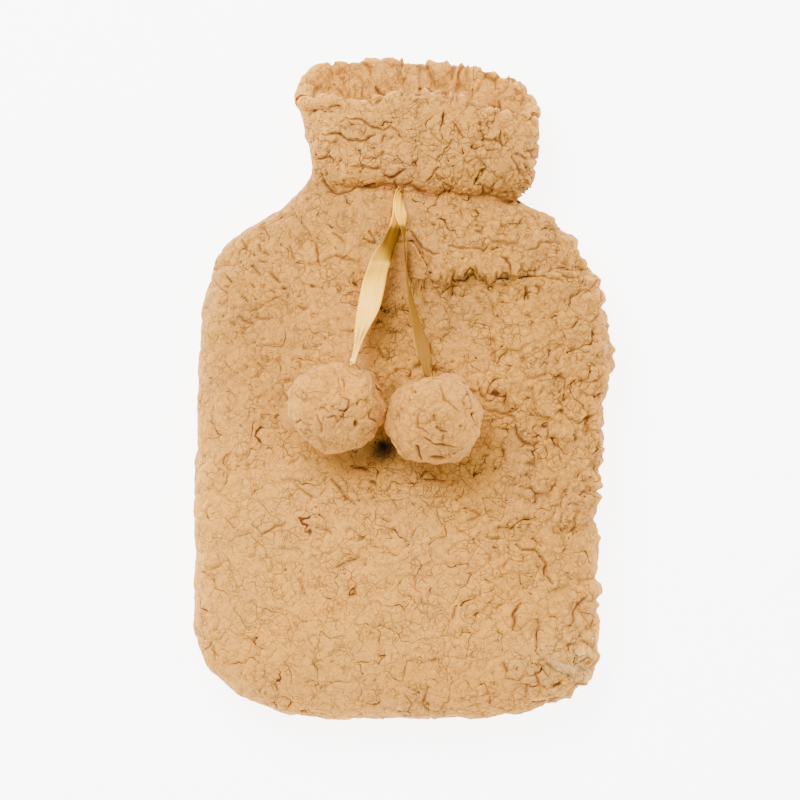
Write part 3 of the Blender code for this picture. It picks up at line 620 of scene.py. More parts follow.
class FleeceSettings(PropertyGroup):
    """The curls of the fleece and their colours."""

    clump: pile_length("Clump", "Distance between the middles of two clumps", 11.0 * MM)
    curl: pile_length("Curl", "Distance between the middles of two curls in a clump", 5.2 * MM)
    warp: pile_length("Warp", "How far the clumps' borders wander", 3.2 * MM)
    depth: pile_length("Depth", "Depth of the crevices round the roundest clumps", 3.0 * MM)
    lobe: pile_length("Lobe", "Width of the lobes along a free edge", 7.0 * MM)
    lobe_depth: pile_length("Lobe depth", "Depth of the creases between those lobes", 2.4 * MM)
    pitch: pile_length("Pitch", "Distance between two rows of the mesh", 0.9 * MM)
    tip: pile_colour("Tips", "Colour of the ends of the pile", (0.63, 0.288, 0.047, 1.0))
    # Painted shade: the dark colour put down between the clumps stands in for the shade that falls there
    crevice: pile_colour("Crevices", "Colour down between the clumps", (0.085, 0.026, 0.006, 1.0))
    worn: pile_colour("Worn", "Colour of worn, greyish pile", (0.60, 0.36, 0.12, 1.0))
    sheen: share("Sheen", "Light caught by the ends of the fibres", 0.12)


class PompomSettings(PropertyGroup):
    """The fleece of the pompoms."""

    clump: pile_length("Clump", "Distance between the middles of two clumps", 11.0 * MM)
    curl: pile_length("Curl", "Distance between the middles of two curls in a clump", 5.6 * MM)
    depth: pile_length("Depth", "Depth of the crevices", 2.2 * MM)
    lump: pile_length("Lumps", "How far the ball is out of round", 3.0 * MM)
    drawn_in: pile_length("Drawn in", "How far the ribbon's end draws the ball in", 4.4 * MM)
    steps: IntProperty(name="Steps", description="Squares along each of a ball's six sides", default=84)
    tip: pile_colour("Tips", "Colour of the ends of the pile", (0.55, 0.246, 0.038, 1.0))


class RibbonSettings(PropertyGroup):
    """The satin ribbon and the thread at the left tail's end."""

    thickness: pile_length("Thickness", "Thickness of the ribbon", 0.4 * MM)
    ripple: pile_length("Ripple", "Height of the ribbon's lengthwise ripples", 0.25 * MM)
    colour: pile_colour("Satin", "Colour of the satin", (1.0, 0.53, 0.025, 1.0))
    # Painted shade: the dark satin colour where the ribbon stands on edge or lies in shade
    fold_shade: pile_colour("Folds", "Colour of the satin where it stands on edge", (0.155, 0.058, 0.0055, 1.0))
    thread: pile_colour("Thread", "Colour of the thread that ties the ends", (0.92, 0.78, 0.55, 1.0))
    gloss: share("Roughness", "Roughness of the satin", 0.36)


def power(name, description, default):
    """A light's power in watts."""
    return FloatProperty(name=name, description=description, default=default, unit="POWER")


def brightness(name, description, default):
    """The strength of the light that a whole surface gives."""
    return FloatProperty(name=name, description=description, default=default)


class StageSettings(PropertyGroup):
    """The floor, the lights and the camera."""

    floor: pile_colour("Floor", "Colour of the floor", (0.90, 0.90, 0.89, 1.0))
    distance: pile_length("Camera height", "Height of the camera over the floor", 3.0)
    width: pile_length("View width", "Width of the view, level with the front", 0.424)
    key: power("Key light", "Power of the key light", 66.0)
    fill: power("Fill light", "Power of the fill light", 12.0)
    sky: brightness("Sky", "Strength of the even light from all round", 1.25)
    glow: brightness("Floor glow", "Light the floor itself gives, as a light table", 6.0)


# ---------------------------------------------------------------- curves and noise


def smoothstep(value, low, high):
    """0 below low and 1 above high, eased between them."""
    t = np.clip((value - low) / (high - low), 0.0, 1.0)
    return t * t * (3.0 - 2.0 * t)


def column(table, name, scale=MM):
    """One column of a table, in metres unless it has a scale of its own."""
    return np.array([getattr(row, name) for row in table], dtype=float) * scale


def through(knots, values, at):
    """The smooth curve through the table's values that never swings past them."""
    step = np.diff(knots)
    slope = np.diff(values) / step
    product = slope[:-1] * slope[1:]
    total = np.where(product > 0, slope[:-1] + slope[1:], 1.0)
    inner = np.where(product > 0, 2.0 * product / total, 0.0)
    tangent = np.concatenate([slope[:1], inner, slope[-1:]])
    at = np.clip(at, knots[0], knots[-1])
    k = np.clip(np.searchsorted(knots, at) - 1, 0, len(step) - 1)
    t = (at - knots[k]) / step[k]
    start = values[k] * (1 + 2 * t) * (1 - t) ** 2 + tangent[k] * step[k] * t * (1 - t) ** 2
    end = values[k + 1] * t * t * (3 - 2 * t) + tangent[k + 1] * step[k] * t * t * (t - 1)
    return start + end


def unit(vectors):
    """The vectors, each divided by its length."""
    return vectors / np.maximum(np.linalg.norm(vectors, axis=-1, keepdims=True), 1e-12)


def hashed(cells, seed):
    """Three numbers from 0 to 1 for each whole-number cell, by mixing its digits."""
    whole = cells.astype(np.int64) + 100000
    key = (whole @ np.array([73856093, 19349663, 83492791]) + seed * 7919).astype(np.uint64)
    mask = np.uint64(0xFFFFFFFF)
    key &= mask
    found = []
    for _ in range(3):
        key = ((key ^ (key >> np.uint64(15))) * np.uint64(2246822519)) & mask
        key = ((key ^ (key >> np.uint64(13))) * np.uint64(3266489917)) & mask
        key ^= key >> np.uint64(16)
        found.append(key / 2.0**32)
    return np.stack(found, axis=-1)


def swells(points, size, seed):
    """Smooth noise between about -1 and 1: at each corner of a grid of cubes of this
    size a random slope, blended across the cube."""
    scaled = points / size
    base = np.floor(scaled)
    part = scaled - base
    ease = part * part * (3.0 - 2.0 * part)
    total = np.zeros(len(points))
    for corner in itertools.product((0.0, 1.0), repeat=3):
        offset = np.array(corner)
        slope = hashed(base + offset, seed) * 2.0 - 1.0
        weight = np.prod(np.where(offset > 0.5, ease, 1.0 - ease), axis=1)
        total += weight * np.sum(slope * (part - offset), axis=1)
    return 1.5 * total


def uneven(points, size, seed):
    """Noise of this size in the plane of the front alone."""
    return swells(points * np.array([1.0, 1.0, 0.0]), size, seed)


def wander(points, size, far, seed):
    """The points, each moved up to far by three smooth noises."""
    moves = [swells(points, size, seed + k) for k in range(3)]
    return points + far * np.stack(moves, axis=1)


Clump = namedtuple("Clump", "border arm chance shared side parted")


def clumps(points, size, seed):
    """Splits space into rounded clumps, one round each of a grid of scattered middles.

    A point belongs to the middle that is nearest once each distance is divided by
    that clump's own size, so that two clumps meet along an arc round the smaller.
    Gives, for each point, its distance from the border with the next clump, the
    vector from its own clump's middle, three random numbers of that clump, one
    that it shares with the next clump, and which of two sides its clump is on.
    Clumps on different sides are parted; those on one side have grown together.
    """
    scaled = points / size
    base = np.floor(scaled)
    near, next_near = np.full(len(points), np.inf), np.full(len(points), np.inf)
    arm, next_arm = np.zeros_like(points), np.zeros_like(points)
    home, next_home = np.zeros_like(points), np.zeros_like(points)
    for corner in itertools.product((-1.0, 0.0, 1.0), repeat=3):
        cell = base + np.array(corner)
        away = scaled - cell - hashed(cell, seed)
        distance = np.linalg.norm(away, axis=1) / girth(cell, seed)
        first = distance < near
        second = ~first & (distance < next_near)
        next_near = np.where(first, near, np.where(second, distance, next_near))
        next_arm = np.where(first[:, None], arm, np.where(second[:, None], away, next_arm))
        next_home = np.where(first[:, None], home, np.where(second[:, None], cell, next_home))
        near = np.where(first, distance, near)
        arm = np.where(first[:, None], away, arm)
        home = np.where(first[:, None], cell, home)
    steep = unit(next_arm) / girth(next_home, seed)[:, None] - unit(arm) / girth(home, seed)[:, None]
    border = (next_near - near) / np.maximum(np.linalg.norm(steep, axis=1), 0.3) * size
    own, shared = hashed(home, seed + 5), hashed(home + next_home, seed + 6)[:, 0]
    side, next_side = (
        np.where(hashed(cell, seed + 7)[:, 1] < 0.5, -1.0, 1.0) for cell in (home, next_home)
    )
    return Clump(border, arm * size, own, shared, side, side != next_side)


def girth(cell, seed):
    """How big a cell's clump is beside the others."""
    return 0.70 + 0.75 * hashed(cell, seed + 8)[:, 0]


# ---------------------------------------------------------------- the cover's form


def section(name, y):
    """One column of the section table, at any height on the cover."""
    return through(column(SECTIONS, "y"), column(SECTIONS, name), y)


def corner_reach(y, corner):
    """How far the outline has drawn in at y, where a lower corner rounds it."""
    across, along = corner
    rise = np.clip((BOTTOM_Y + along - y) / along, 0.0, 1.0)
    return across * (1.0 - np.sqrt(1.0 - rise**2))


def outline(y):
    """The left and right edges of the cover at height y."""
    left = section("left", y) + corner_reach(y, LEFT_CORNER)
    right = section("right", y) - corner_reach(y, RIGHT_CORNER)
    return left + PILE_LIFT / 2, right - PILE_LIFT / 2


def closing(y, distance):
    """0 at the bottom seam, rising like a quarter of a rounded square to 1."""
    rest = 1.0 - np.clip((y - BOTTOM_Y) / distance, 0.0, 1.0)
    return (1.0 - rest**CLOSE_POWER) ** (1.0 / CLOSE_POWER)


def crown(s):
    """The height of a section's rounded form over its seams, from 0 to 1."""
    return (1.0 - np.minimum(np.abs(s), 1.0) ** CROWN_POWER) ** (1.0 / CROWN_POWER)


def front_form(s, y, lift, inset):
    """The front: across, a rounded square from seam to seam; along, the section table."""
    left, right = outline(y)
    seam = section("seam", y)
    rise = crown(s)
    x = (left + right) / 2 + ((right - left) / 2 - inset) * s
    z = seam + SEAM_GAP + (section("front", y) + lift - seam) * closing(y, FRONT_CLOSE) * rise
    along = y - section("slant", y) * s + section("front_bow", y) * rise
    return np.stack([x, along, z], axis=-1)


def lower_form(s, y):
    """The lower front, drawn in at its sides where it runs up under the flap."""
    under_flap = FLAP_LIFT * smoothstep(y, *TUCK_FADE)
    taper = TUCK_TAPER * smoothstep(y, TUCK_FADE[1], TUCK_Y)
    return front_form(s, y, 0.0, under_flap + taper)


def flap_lift(y):
    """How high the flap lies over the lower front's own surface."""
    return FLAP_LIFT * (1.0 - smoothstep(y, *FLAP_LIFT_FADE))


def no_lift(y):
    """The lift of a panel that laps no other."""
    return 0.0 * y


def plain_upper_form(s, y):
    """The upper front with a straight hem and rim."""
    return front_form(s, y, flap_lift(y), 0.0)


def upper_form(s, y):
    """The upper front, whose rows follow the hem below and the rim's wave above."""
    x = plain_upper_form(s, y)[..., 0]
    near_hem = 1.0 - smoothstep(y, HEM_Y, HEM_Y + HEM_FADE)
    hem = through(column(HEM, "x"), column(HEM, "y"), x) - HEM_Y
    points = plain_upper_form(s, y + near_hem * hem)
    near_rim = smoothstep(y, RIM_Y - RIM_FADE, RIM_Y) * crown(s)
    points[..., 1] += near_rim * through(column(FRONT_RIM, "x"), column(FRONT_RIM, "rise"), x)
    return points


def back_form(s, y):
    """The back, pressed flat underneath where it lies on the floor."""
    left, right = outline(y)
    seam = section("seam", y)
    depth = (seam - section("back", y) + FLOOR_CUT) * closing(y, BACK_CLOSE)
    rise = crown(s)
    x = (left + right) / 2 + (right - left) / 2 * s
    z = np.maximum(seam - SEAM_GAP - depth * rise, 0.0)
    along = y - section("slant", y) * s + section("back_bow", y) * rise
    return np.stack([x, along, z], axis=-1)


def cloth_height(x, y):
    """How high the flap or, below its hem, the lower front lies at x, y."""
    left, right = outline(y)
    s = (x - (left + right) / 2) / ((right - left) / 2)
    flap = plain_upper_form(s, y)[..., 2]
    lower = lower_form(s, y)[..., 2]
    hem = through(column(HEM, "x"), column(HEM, "y"), x)
    return np.where(y > hem - FLAP_LIFT, flap, lower)


def directions(form, s, y, facing):
    """The unit vectors out of a form and up along it, from its differences."""
    across = form(np.minimum(s + DIFFERENCE_S, 1.0), y) - form(np.maximum(s - DIFFERENCE_S, -1.0), y)
    low = np.maximum(y - DIFFERENCE_Y, BOTTOM_Y)
    along = form(s, y + DIFFERENCE_Y) - form(s, low)
    return facing * unit(np.cross(across, along)), unit(along)


def even_columns(form, y, count):
    """Values of s that lie at even distances across the form at height y."""
    s = -np.cos(np.linspace(0.0, math.pi, FINE_STEPS))
    line = form(s, np.full_like(s, y))
    run = np.concatenate([[0.0], np.cumsum(np.linalg.norm(np.diff(line, axis=0), axis=1))])
    return np.interp(np.linspace(0.0, run[-1], count + 1), run, s)


def even_rows(form, low, high, step):
    """Heights whose rows lie one step apart where the form runs furthest."""
    y = low + (high - low) * np.linspace(0.0, 1.0, FINE_STEPS) ** 2
    s = np.linspace(-1.0, 1.0, 9)
    lines = form(s[None, :], y[:, None] + 0.0 * s[None, :])
    longest = np.linalg.norm(np.diff(lines, axis=0), axis=-1).max(axis=1)
    run = np.concatenate([[0.0], np.cumsum(longest)])
    return np.interp(np.linspace(0.0, run[-1], max(2, round(run[-1] / step)) + 1), run, y)


Path = namedtuple("Path", "y deep out tip")


def round_trip(form, low, high, pitch, inside_to, hemmed):
    """The rows of a wall of cloth, once round its profile.

    They run up the outer face, over the rounded rim, and down the inner face,
    finely as far as inside_to and coarsely below it. A hemmed wall is rounded at
    its foot too. deep is 0 on the outer face and 1 on the inner one, out is how
    far a row stands past the edge, in half walls, and tip is the rim's row.
    """
    outer = even_rows(form, low, high, pitch)
    inner_fine = even_rows(form, inside_to, high, pitch)[::-1][1:]
    inner_coarse = np.linspace(inside_to, low, round((inside_to - low) / COARSE_ROW) + 1)[1:]
    arc = np.linspace(0.0, math.pi, ARC_ROWS + 2)[1:-1]
    inner = np.concatenate([[high], inner_fine, inner_coarse])
    y = [outer, np.full(ARC_ROWS, high), inner]
    deep = [np.zeros(len(outer)), (1.0 - np.cos(arc)) / 2.0, np.ones(len(inner))]
    out = [np.zeros(len(outer)), np.sin(arc), np.zeros(len(inner))]
    tip = len(outer) + ARC_ROWS // 2
    if hemmed:
        foot = np.linspace(0.0, math.pi / 2, ARC_ROWS // 2 + 2)
        y = [np.full(len(foot) - 1, low), *y, np.full(len(foot) - 2, low)]
        deep = [(1.0 - np.sin(foot[:-1])) / 2.0, *deep, (1.0 + np.cos(foot[1:-1])) / 2.0]
        out = [-np.cos(foot[:-1]), *out, -np.sin(foot[1:-1])]
        tip += len(foot) - 1
    return Path(np.concatenate(y), np.concatenate(deep), np.concatenate(out), tip)


def wall_grid(form, path, s, facing):
    """The wall's points: each row's form, sunk by its depth and moved past the edge."""
    across = s[None, :] + 0.0 * path.y[:, None]
    heights = path.y[:, None] + 0.0 * s[None, :]
    normal, along = directions(form, across, heights, facing)
    points = form(across, heights)
    points -= normal * (WALL * path.deep)[:, None, None]
    return points + along * (WALL / 2 * path.out)[:, None, None]


def loop_faces(rows, columns):
    """Squares between the rows of a grid whose last row meets its first."""
    index = np.arange(rows * columns).reshape(rows, columns)
    after = np.roll(index, -1, axis=0)
    quads = [index[:, :-1], index[:, 1:], after[:, 1:], after[:, :-1]]
    return np.stack(quads, axis=-1).reshape(-1, 4)


def side_cap(points, tip, side):
    """Triangles that close one side of the wall, between its outer and inner edges.

    Both edges run from the foot to the rim's tip. Each step of one is joined to
    the point of the other that is as far along.
    """
    rows, columns = points.shape[:2]
    index = np.arange(rows) * columns + (0 if side < 0 else columns - 1)
    outer = index[: tip + 1]
    inner = np.concatenate([index[:1], index[:tip:-1], index[tip : tip + 1]])
    flat = points.reshape(-1, 3)
    far = [np.concatenate([[0.0], np.cumsum(np.linalg.norm(np.diff(flat[e], axis=0), axis=1))])
           for e in (outer, inner)]
    outer_at, inner_at = far[0] / far[0][-1], far[1] / far[1][-1]
    nearest = np.clip(np.searchsorted(inner_at, outer_at[1:-1]), 1, len(inner) - 2)
    nearest = np.concatenate([[0], nearest, [len(inner) - 1]])
    steps = np.stack([outer[:-1], outer[1:], inner[nearest[1:]]], axis=-1)
    jumps = []
    for k in np.flatnonzero(np.diff(nearest)):
        for j in range(nearest[k], nearest[k + 1]):
            jumps.append((outer[k], inner[j + 1], inner[j]))
    faces = np.concatenate([steps, np.array(jumps)])
    distinct = (faces[:, 0] != faces[:, 1]) & (faces[:, 1] != faces[:, 2]) & (faces[:, 0] != faces[:, 2])
    faces = faces[distinct]
    return faces if side > 0 else faces[:, ::-1]


# ---------------------------------------------------------------- the pile


def lumps(points):
    """The broad outward swell of the pile, between 0 and PILE_LIFT, as in the model."""
    total = np.zeros(len(points))
    for w in WAVES:
        lengths = np.array([w.along_x, w.along_y, w.along_z]) * MM
        total += w.share * np.sin(2 * math.pi * (np.sum(points / lengths, axis=1) + w.phase))
    return 0.5 * PILE_LIFT * (1.0 + total) * smoothstep(points[:, 2], *LUMP_FADE_Z)


def patchwork(points):
    """The patch table's columns, summed at each point on the front."""
    found = {name: np.zeros(len(points)) for name in ("knob", "crack", "nap", "shade", "pale")}
    found["knob"] += PLAIN_KNOB
    found["crack"] += PLAIN_CRACK
    on_front = smoothstep(points[:, 2], *PATCH_FADE_Z)
    for patch in PATCHES:
        across = (points[:, 0] / MM - patch.x) / patch.half_x
        along = (points[:, 1] / MM - patch.y) / patch.half_y
        weight = on_front * np.exp(-(across**2) - along**2)
        for name, total in found.items():
            total += weight * getattr(patch, name)
    return {name: np.clip(total, 0.0, 1.0) for name, total in found.items()}


def notches(points):
    """Painted shade in the notches between the frayed locks of the worn corner: short dark
    strokes that point at the frayed patch's middle, each deepest on its own line."""
    across, along = points[:, 0] - FRAY_X, points[:, 1] - FRAY_Y
    far, angle = np.hypot(across, along), np.arctan2(along, across)
    total = np.zeros(len(points))
    for notch in NOTCHES:
        off = (angle - math.radians(notch.angle)) * far / (notch.width * MM)
        out = (far - notch.far * MM) / (notch.length * MM)
        total = np.maximum(total, notch.strength * np.exp(-(off**2) - out**4))
    return total * smoothstep(points[:, 2], *PATCH_FADE_Z)


def side_lobes(points, s):
    """The lumps along the side seams, which show in the outline: clumps that stand
    one above the other, the painted shade in the creases between them, and the share of
    their height that smaller curls keep there. Both panels that meet at the seam have the same."""
    collar = smoothstep(points[:, 1], *COLLAR_FOOT) * smoothstep(points[:, 0], 0.0, 25 * MM)
    place = points * np.array([0.6, 1.0, 0.6]) * (1.0 + 0.8 * collar)[:, None]
    found = clumps(wandering(place, SIDE_LOBE, 0.20 * SIDE_LOBE, 96), SIDE_LOBE, 97)
    near = smoothstep(np.abs(s), *NEAR_SEAM)
    right = 0.35 + 0.65 * smoothstep(points[:, 0], 10 * MM, 25 * MM) + 0.5 * collar
    swell = rounded(found.border, 0.30 * SIDE_LOBE) - 0.7 + 0.6 * (found.chance[:, 0] - 0.5)
    creases = 0.7 * near * right * found.parted * np.exp(-((found.border / CREASE_WIDTH) ** 2))
    kept = 1.0 - (0.55 + 0.3 * collar) * smoothstep(np.abs(s), *AT_SEAM)
    return SIDE_LOBE_DEPTH * near * right * swell, creases, kept


def side_tufts(points, s):
    """How far the small tips of the right side stand out: each swells out roundly
    from above, and is cut back steeply below its tip."""
    y = points[:, 1] / MM + 1.3 * swells(points, 9 * MM, 98)
    total = np.zeros(len(points))
    for tuft in SIDE_TUFTS:
        reach = np.where(y > tuft.y, tuft.above, tuft.below)
        rise = np.clip(1.0 - np.abs(y - tuft.y) / reach, 0.0, 1.0)
        total = np.maximum(total, tuft.out * rise ** np.where(y > tuft.y, 0.65, 1.0))
    return total * MM * smoothstep(s, *AT_SEAM)


def hand_creases(points, creases):
    """How near each point is to the main creases, from 0 to 1.

    Each crease is a bent line. A point's nearness falls off with its distance
    from the nearest straight part, over that crease's width, which narrows to
    a fifth at the crease's ends.
    """
    flat = points[:, :2] / MM
    total = np.zeros(len(points))
    wider = 1.0 + 0.45 * uneven(points, 3.5 * MM, 88)
    for crease in creases:
        knots = crease.points
        lengths = np.linalg.norm(np.diff(knots, axis=0), axis=1)
        reach = CREASE_REACH * crease.width
        near = np.all((flat > knots.min(axis=0) - reach) & (flat < knots.max(axis=0) + reach), axis=1)
        near = np.flatnonzero(near)
        reached = 0.0
        for start, end, length in zip(knots[:-1], knots[1:], lengths):
            ahead = (end - start) / length
            away = flat[near] - start
            part = np.clip(away @ ahead, 0.0, length)
            off = np.linalg.norm(away - part[:, None] * ahead, axis=1)
            share_along = (reached + part) / lengths.sum()
            width = crease.width * wider[near] * (1.0 - 0.8 * np.abs(2.0 * share_along - 1.0) ** 4)
            total[near] = np.maximum(total[near], crease.strength * np.exp(-((off / width) ** 2)))
            reached += length
    return total


def neck_crease(points):
    """How near a point is to the crease where the ribbon draws the neck in, from 0
    to 1: level on the left, falling on the right, wavering and deeper in places."""
    middle = through(column(NECK_CREASE, "x"), column(NECK_CREASE, "y"), points[:, 0])
    off = points[:, 1] - middle - 1.6 * MM * uneven(points, 11 * MM, 71)
    return np.exp(-((off / NECK_CREASE_WIDTH) ** 2)) * smoothstep(points[:, 2], *NECK_CREASE_FADE_Z)


def frayed(points):
    """The frayed locks of the worn corner: noise drawn out towards the patch's middle."""
    across, along = points[:, 0] - FRAY_X, points[:, 1] - FRAY_Y
    far, angle = np.hypot(across, along), np.arctan2(along, across)
    place = np.stack([angle * 30 * MM, far / 4.5, points[:, 2] / 4.5], axis=1)
    return smoothstep(swells(place, 3.2 * MM, 83), -0.35, 0.30)


def rounded(border, width):
    """0 on the border between two clumps, rising in a round shoulder to 1 at width."""
    return 1.0 - (1.0 - np.minimum(border / width, 1.0)) ** 2


def wandering(points, size, warp, seed):
    """The points, moved by slow noise and by two finer ones, so that borders curl."""
    moved = wander(points, size, warp, seed)
    moved = wander(moved, 0.42 * size, 0.42 * warp, seed + 3)
    return wander(moved, 0.20 * size, 0.20 * warp, seed + 6)


def line_value(found, strength):
    """How far each point is from the dark line of painted shade between parted clumps, in
    half line widths, negative on one side of it, so that the line is sharper than the mesh."""
    far = found.border / (LINE_WIDTH * np.maximum(strength, 0.02))
    far = np.where(found.parted, far, np.maximum(far, FAR_FROM_LINE))
    return found.side * np.minimum(far, FAR_FROM_LINE)


def curls(points, knob, crack, clump, curl, warp, depth, seed):
    """The clumps and the curls in them: how far they stand out, and their lines of painted shade.

    Between two parted clumps the pile sinks in a groove with round shoulders,
    shallow in places; where clumps have grown together it only dips.
    """
    big = clumps(wandering(points, clump, warp, seed), clump, seed + 10)
    along = smoothstep(swells(points, 0.55 * clump, seed + 40), -0.50, 0.40)
    open_groove = (0.30 + 0.70 * smoothstep(big.shared, 0.1, 0.9)) * (0.10 + 0.90 * along)
    groove = np.where(big.parted, open_groove, 0.22)
    sunk = 1.0 - rounded(big.border, (0.10 + 0.24 * knob) * clump)
    small = clumps(wandering(points, curl, 0.55 * warp, seed + 20), curl, seed + 30)
    patchy = smoothstep(swells(points, 1.1 * clump, seed + 50), -0.40, 0.40)
    small_along = smoothstep(swells(points, 0.7 * curl, seed + 45), -0.30, 0.45)
    small_groove = (0.25 + 0.75 * patchy) * small_along * smoothstep(small.shared, 0.0, 0.8)
    small_depth = np.where(small.parted, small_groove, 0.25 + 0.25 * patchy)
    small_sunk = 1.0 - rounded(small.border, (0.20 + 0.20 * knob) * curl)
    tilt = np.sum(big.arm * (2.0 * big.chance - 1.0), axis=1) / clump
    height = depth * (
        0.30 * tilt * (0.5 + knob)
        + (0.06 + 0.34 * knob) * (big.chance[:, 0] - 0.5)
        + (0.04 + 0.46 * knob) * (small.chance[:, 0] - 0.5)
        - (0.26 + 0.84 * knob) * groove * sunk
        - (0.14 + 0.56 * knob) * small_depth * small_sunk
    )
    lines = {
        "line": line_value(big, (0.40 + 0.75 * crack) * open_groove),
        "small_line": line_value(small, (0.15 + 0.85 * crack) * small_groove),
    }
    return height, lines


def edge_lobes(along, past, width, depth, stretch, seed):
    """Lobes that stand side by side along a free edge, longer across it than along it.

    along runs with the edge and past is the distance from it, both in metres.
    """
    flat = np.stack([along, past / stretch, np.zeros_like(along)], axis=1)
    found = clumps(wandering(flat, 1.3 * width, 0.6 * width, seed), width, seed + 10)
    groove = 0.15 + 0.85 * smoothstep(found.shared, 0.1, 0.8)
    sunk = groove * (rounded(found.border, 0.34 * width) - 1.0)
    height = depth * (sunk + 1.1 * (found.chance[:, 0] - 0.5))
    # The second value is painted shade in the creases between the lobes
    return height, groove * np.exp(-((found.border / CREASE_WIDTH) ** 2))


def grid_normals(grid):
    """The outward directions of a grid whose last row meets its first."""
    across = np.gradient(grid, axis=1)
    along = np.roll(grid, -1, axis=0) - np.roll(grid, 1, axis=0)
    return unit(np.cross(across, along))


def fill_mesh(mesh, points, quads, triangles):
    """Puts points, squares and triangles into an empty mesh."""
    corners = np.concatenate([quads.ravel(), triangles.ravel()]).astype(np.int32)
    starts = [np.arange(len(quads)) * 4, len(quads) * 4 + np.arange(len(triangles)) * 3]
    starts = np.concatenate(starts)
    mesh.vertices.add(len(points))
    mesh.vertices.foreach_set("co", points.astype(np.float32).ravel())
    mesh.loops.add(len(corners))
    mesh.loops.foreach_set("vertex_index", corners)
    mesh.polygons.add(len(starts))
    mesh.polygons.foreach_set("loop_start", starts.astype(np.int32))
    mesh.update(calc_edges=True)
    if mesh.validate():
        raise RuntimeError(f"the mesh of {mesh.name} has bad faces")
    mesh.shade_smooth()


def piece(name, points, quads, triangles, finish, values=None):
    """A finished mesh object at the origin, with its values stored on its points."""
    mesh = bpy.data.meshes.new(name)
    fill_mesh(mesh, points, quads, triangles)
    for key, value in (values or {}).items():
        attribute = mesh.attributes.new(key, "FLOAT", "POINT")
        attribute.data.foreach_set("value", value.astype(np.float32))
    mesh.materials.append(finish)
    made = bpy.data.objects.new(name, mesh)
    bpy.context.scene.collection.objects.link(made)
    return made


NO_TRIANGLES = np.zeros((0, 3), dtype=int)

Edge = namedtuple("Edge", "at fade stretch width lean strength")


def fleece_wall(name, form, path, count, facing, settings, edges, calm, settle, lift):
    """A panel of fleece: the wall's form, with its pile raised on what shows.

    edges are the free edges: each one's row, how far its lobes reach, how long and
    wide they are, how far they lean, and a function that gives their strength. Along
    an edge the pile is calmer, so that the lobes show. calm is a function that gives
    the pile's share of its full height, and settle one that gives how far each point
    of the cloth is moved from its form. lift gives how high the cloth lies over the
    one it laps, whose pile it carries on.
    """
    seed = PILE_SEED
    s = even_columns(form, BODY_Y if path.y.min() < BODY_Y else YOKE_Y, count)
    across = np.tile(s, len(path.y))
    grid = wall_grid(form, path, s, facing)
    normal = facing * grid_normals(grid)
    points, normal = grid.reshape(-1, 3), normal.reshape(-1, 3)
    looks = patchwork(points)
    place = points - lift(np.repeat(path.y, count + 1))[:, None] * np.array([0.0, 0.0, 1.0])
    height, lines = curls(
        place, looks["knob"], looks["crack"],
        settings.clump, settings.curl, settings.warp, settings.depth, seed,
    )
    run = np.cumsum(np.linalg.norm(np.diff(grid, axis=0, prepend=grid[:1]), axis=2), axis=0)
    outside = np.repeat(path.deep < 0.5, count + 1)
    bent = wander(wander(points, *CLOTH_BENDS[0], seed + 80), *CLOTH_BENDS[1], seed + 84)
    # A patchy noise: where it is low, the painted shade along the neck crease below is left out
    worn = smoothstep(uneven(points, 8 * MM, 73), -0.45, 0.35)
    shown = outside * smoothstep(points[:, 2], *NECK_CREASE_FADE_Z) if facing > 0 else ~outside
    # How near each point is to a crease, a side crease or a notch: it sets how deep the crease is cut and how
    # much painted shade darkens its colour
    crevice = np.maximum(notches(points), hand_creases(bent, CREASES) * shown)
    height = height - CREASE_DEPTH * crevice
    lobes, creases, kept = side_lobes(points, across)
    height = np.where(outside, height * kept + lobes + side_tufts(points, across), height)
    crevice = np.maximum(crevice, creases * outside)
    crevice = np.maximum(crevice, 0.9 * worn * neck_crease(points) ** 5 * outside)
    for edge in edges:
        past = (run - run[edge.at]).ravel()
        near = edge.strength(points) * np.exp(-((past / edge.fade) ** 2))
        leaning = edge.lean * past * np.clip(0.3 - points[:, 0] / (40 * MM), -0.4, 1.0)
        place = points[:, 0] - leaning + 0.3 * past * uneven(points, 24 * MM, 62)
        lobes, creases = edge_lobes(
            place, past, edge.width * settings.lobe, settings.lobe_depth, edge.stretch, seed + 60
        )
        height = height * np.clip(1.0 - 0.6 * near, 0.2, 1.0) + near * lobes
        crevice = np.maximum(crevice, 0.75 * np.minimum(near, 1.0) * creases)
        lines = {key: value * (1.0 + 4.0 * near) for key, value in lines.items()}
    deep, y = np.repeat(path.deep, count + 1), np.repeat(path.y, count + 1)
    grown = calm(points, deep, y)
    shift = settle(points, normal, deep, y)
    points = points + shift + normal * ((lumps(points) + height) * grown)[:, None]
    points[:, 2] = np.maximum(points[:, 2], 0.0)
    quads = loop_faces(*grid.shape[:2])
    shaped = points.reshape(grid.shape)
    caps = np.concatenate([side_cap(shaped, path.tip, -1), side_cap(shaped, path.tip, 1)])
    if facing < 0:
        quads, caps = quads[:, ::-1], caps[:, ::-1]
    looks.update(lines)
    # Stored for the painted shade down between the clumps
    looks["crevice"] = crevice * grown
    looks["pale"] = looks["pale"] * frayed(points)
    looks["knob"] = looks["knob"] * grown
    finish = fleece_material(settings, "fleece", settings.tip)
    return piece(name, points, quads, caps, finish, looks)


# ---------------------------------------------------------------- finishes


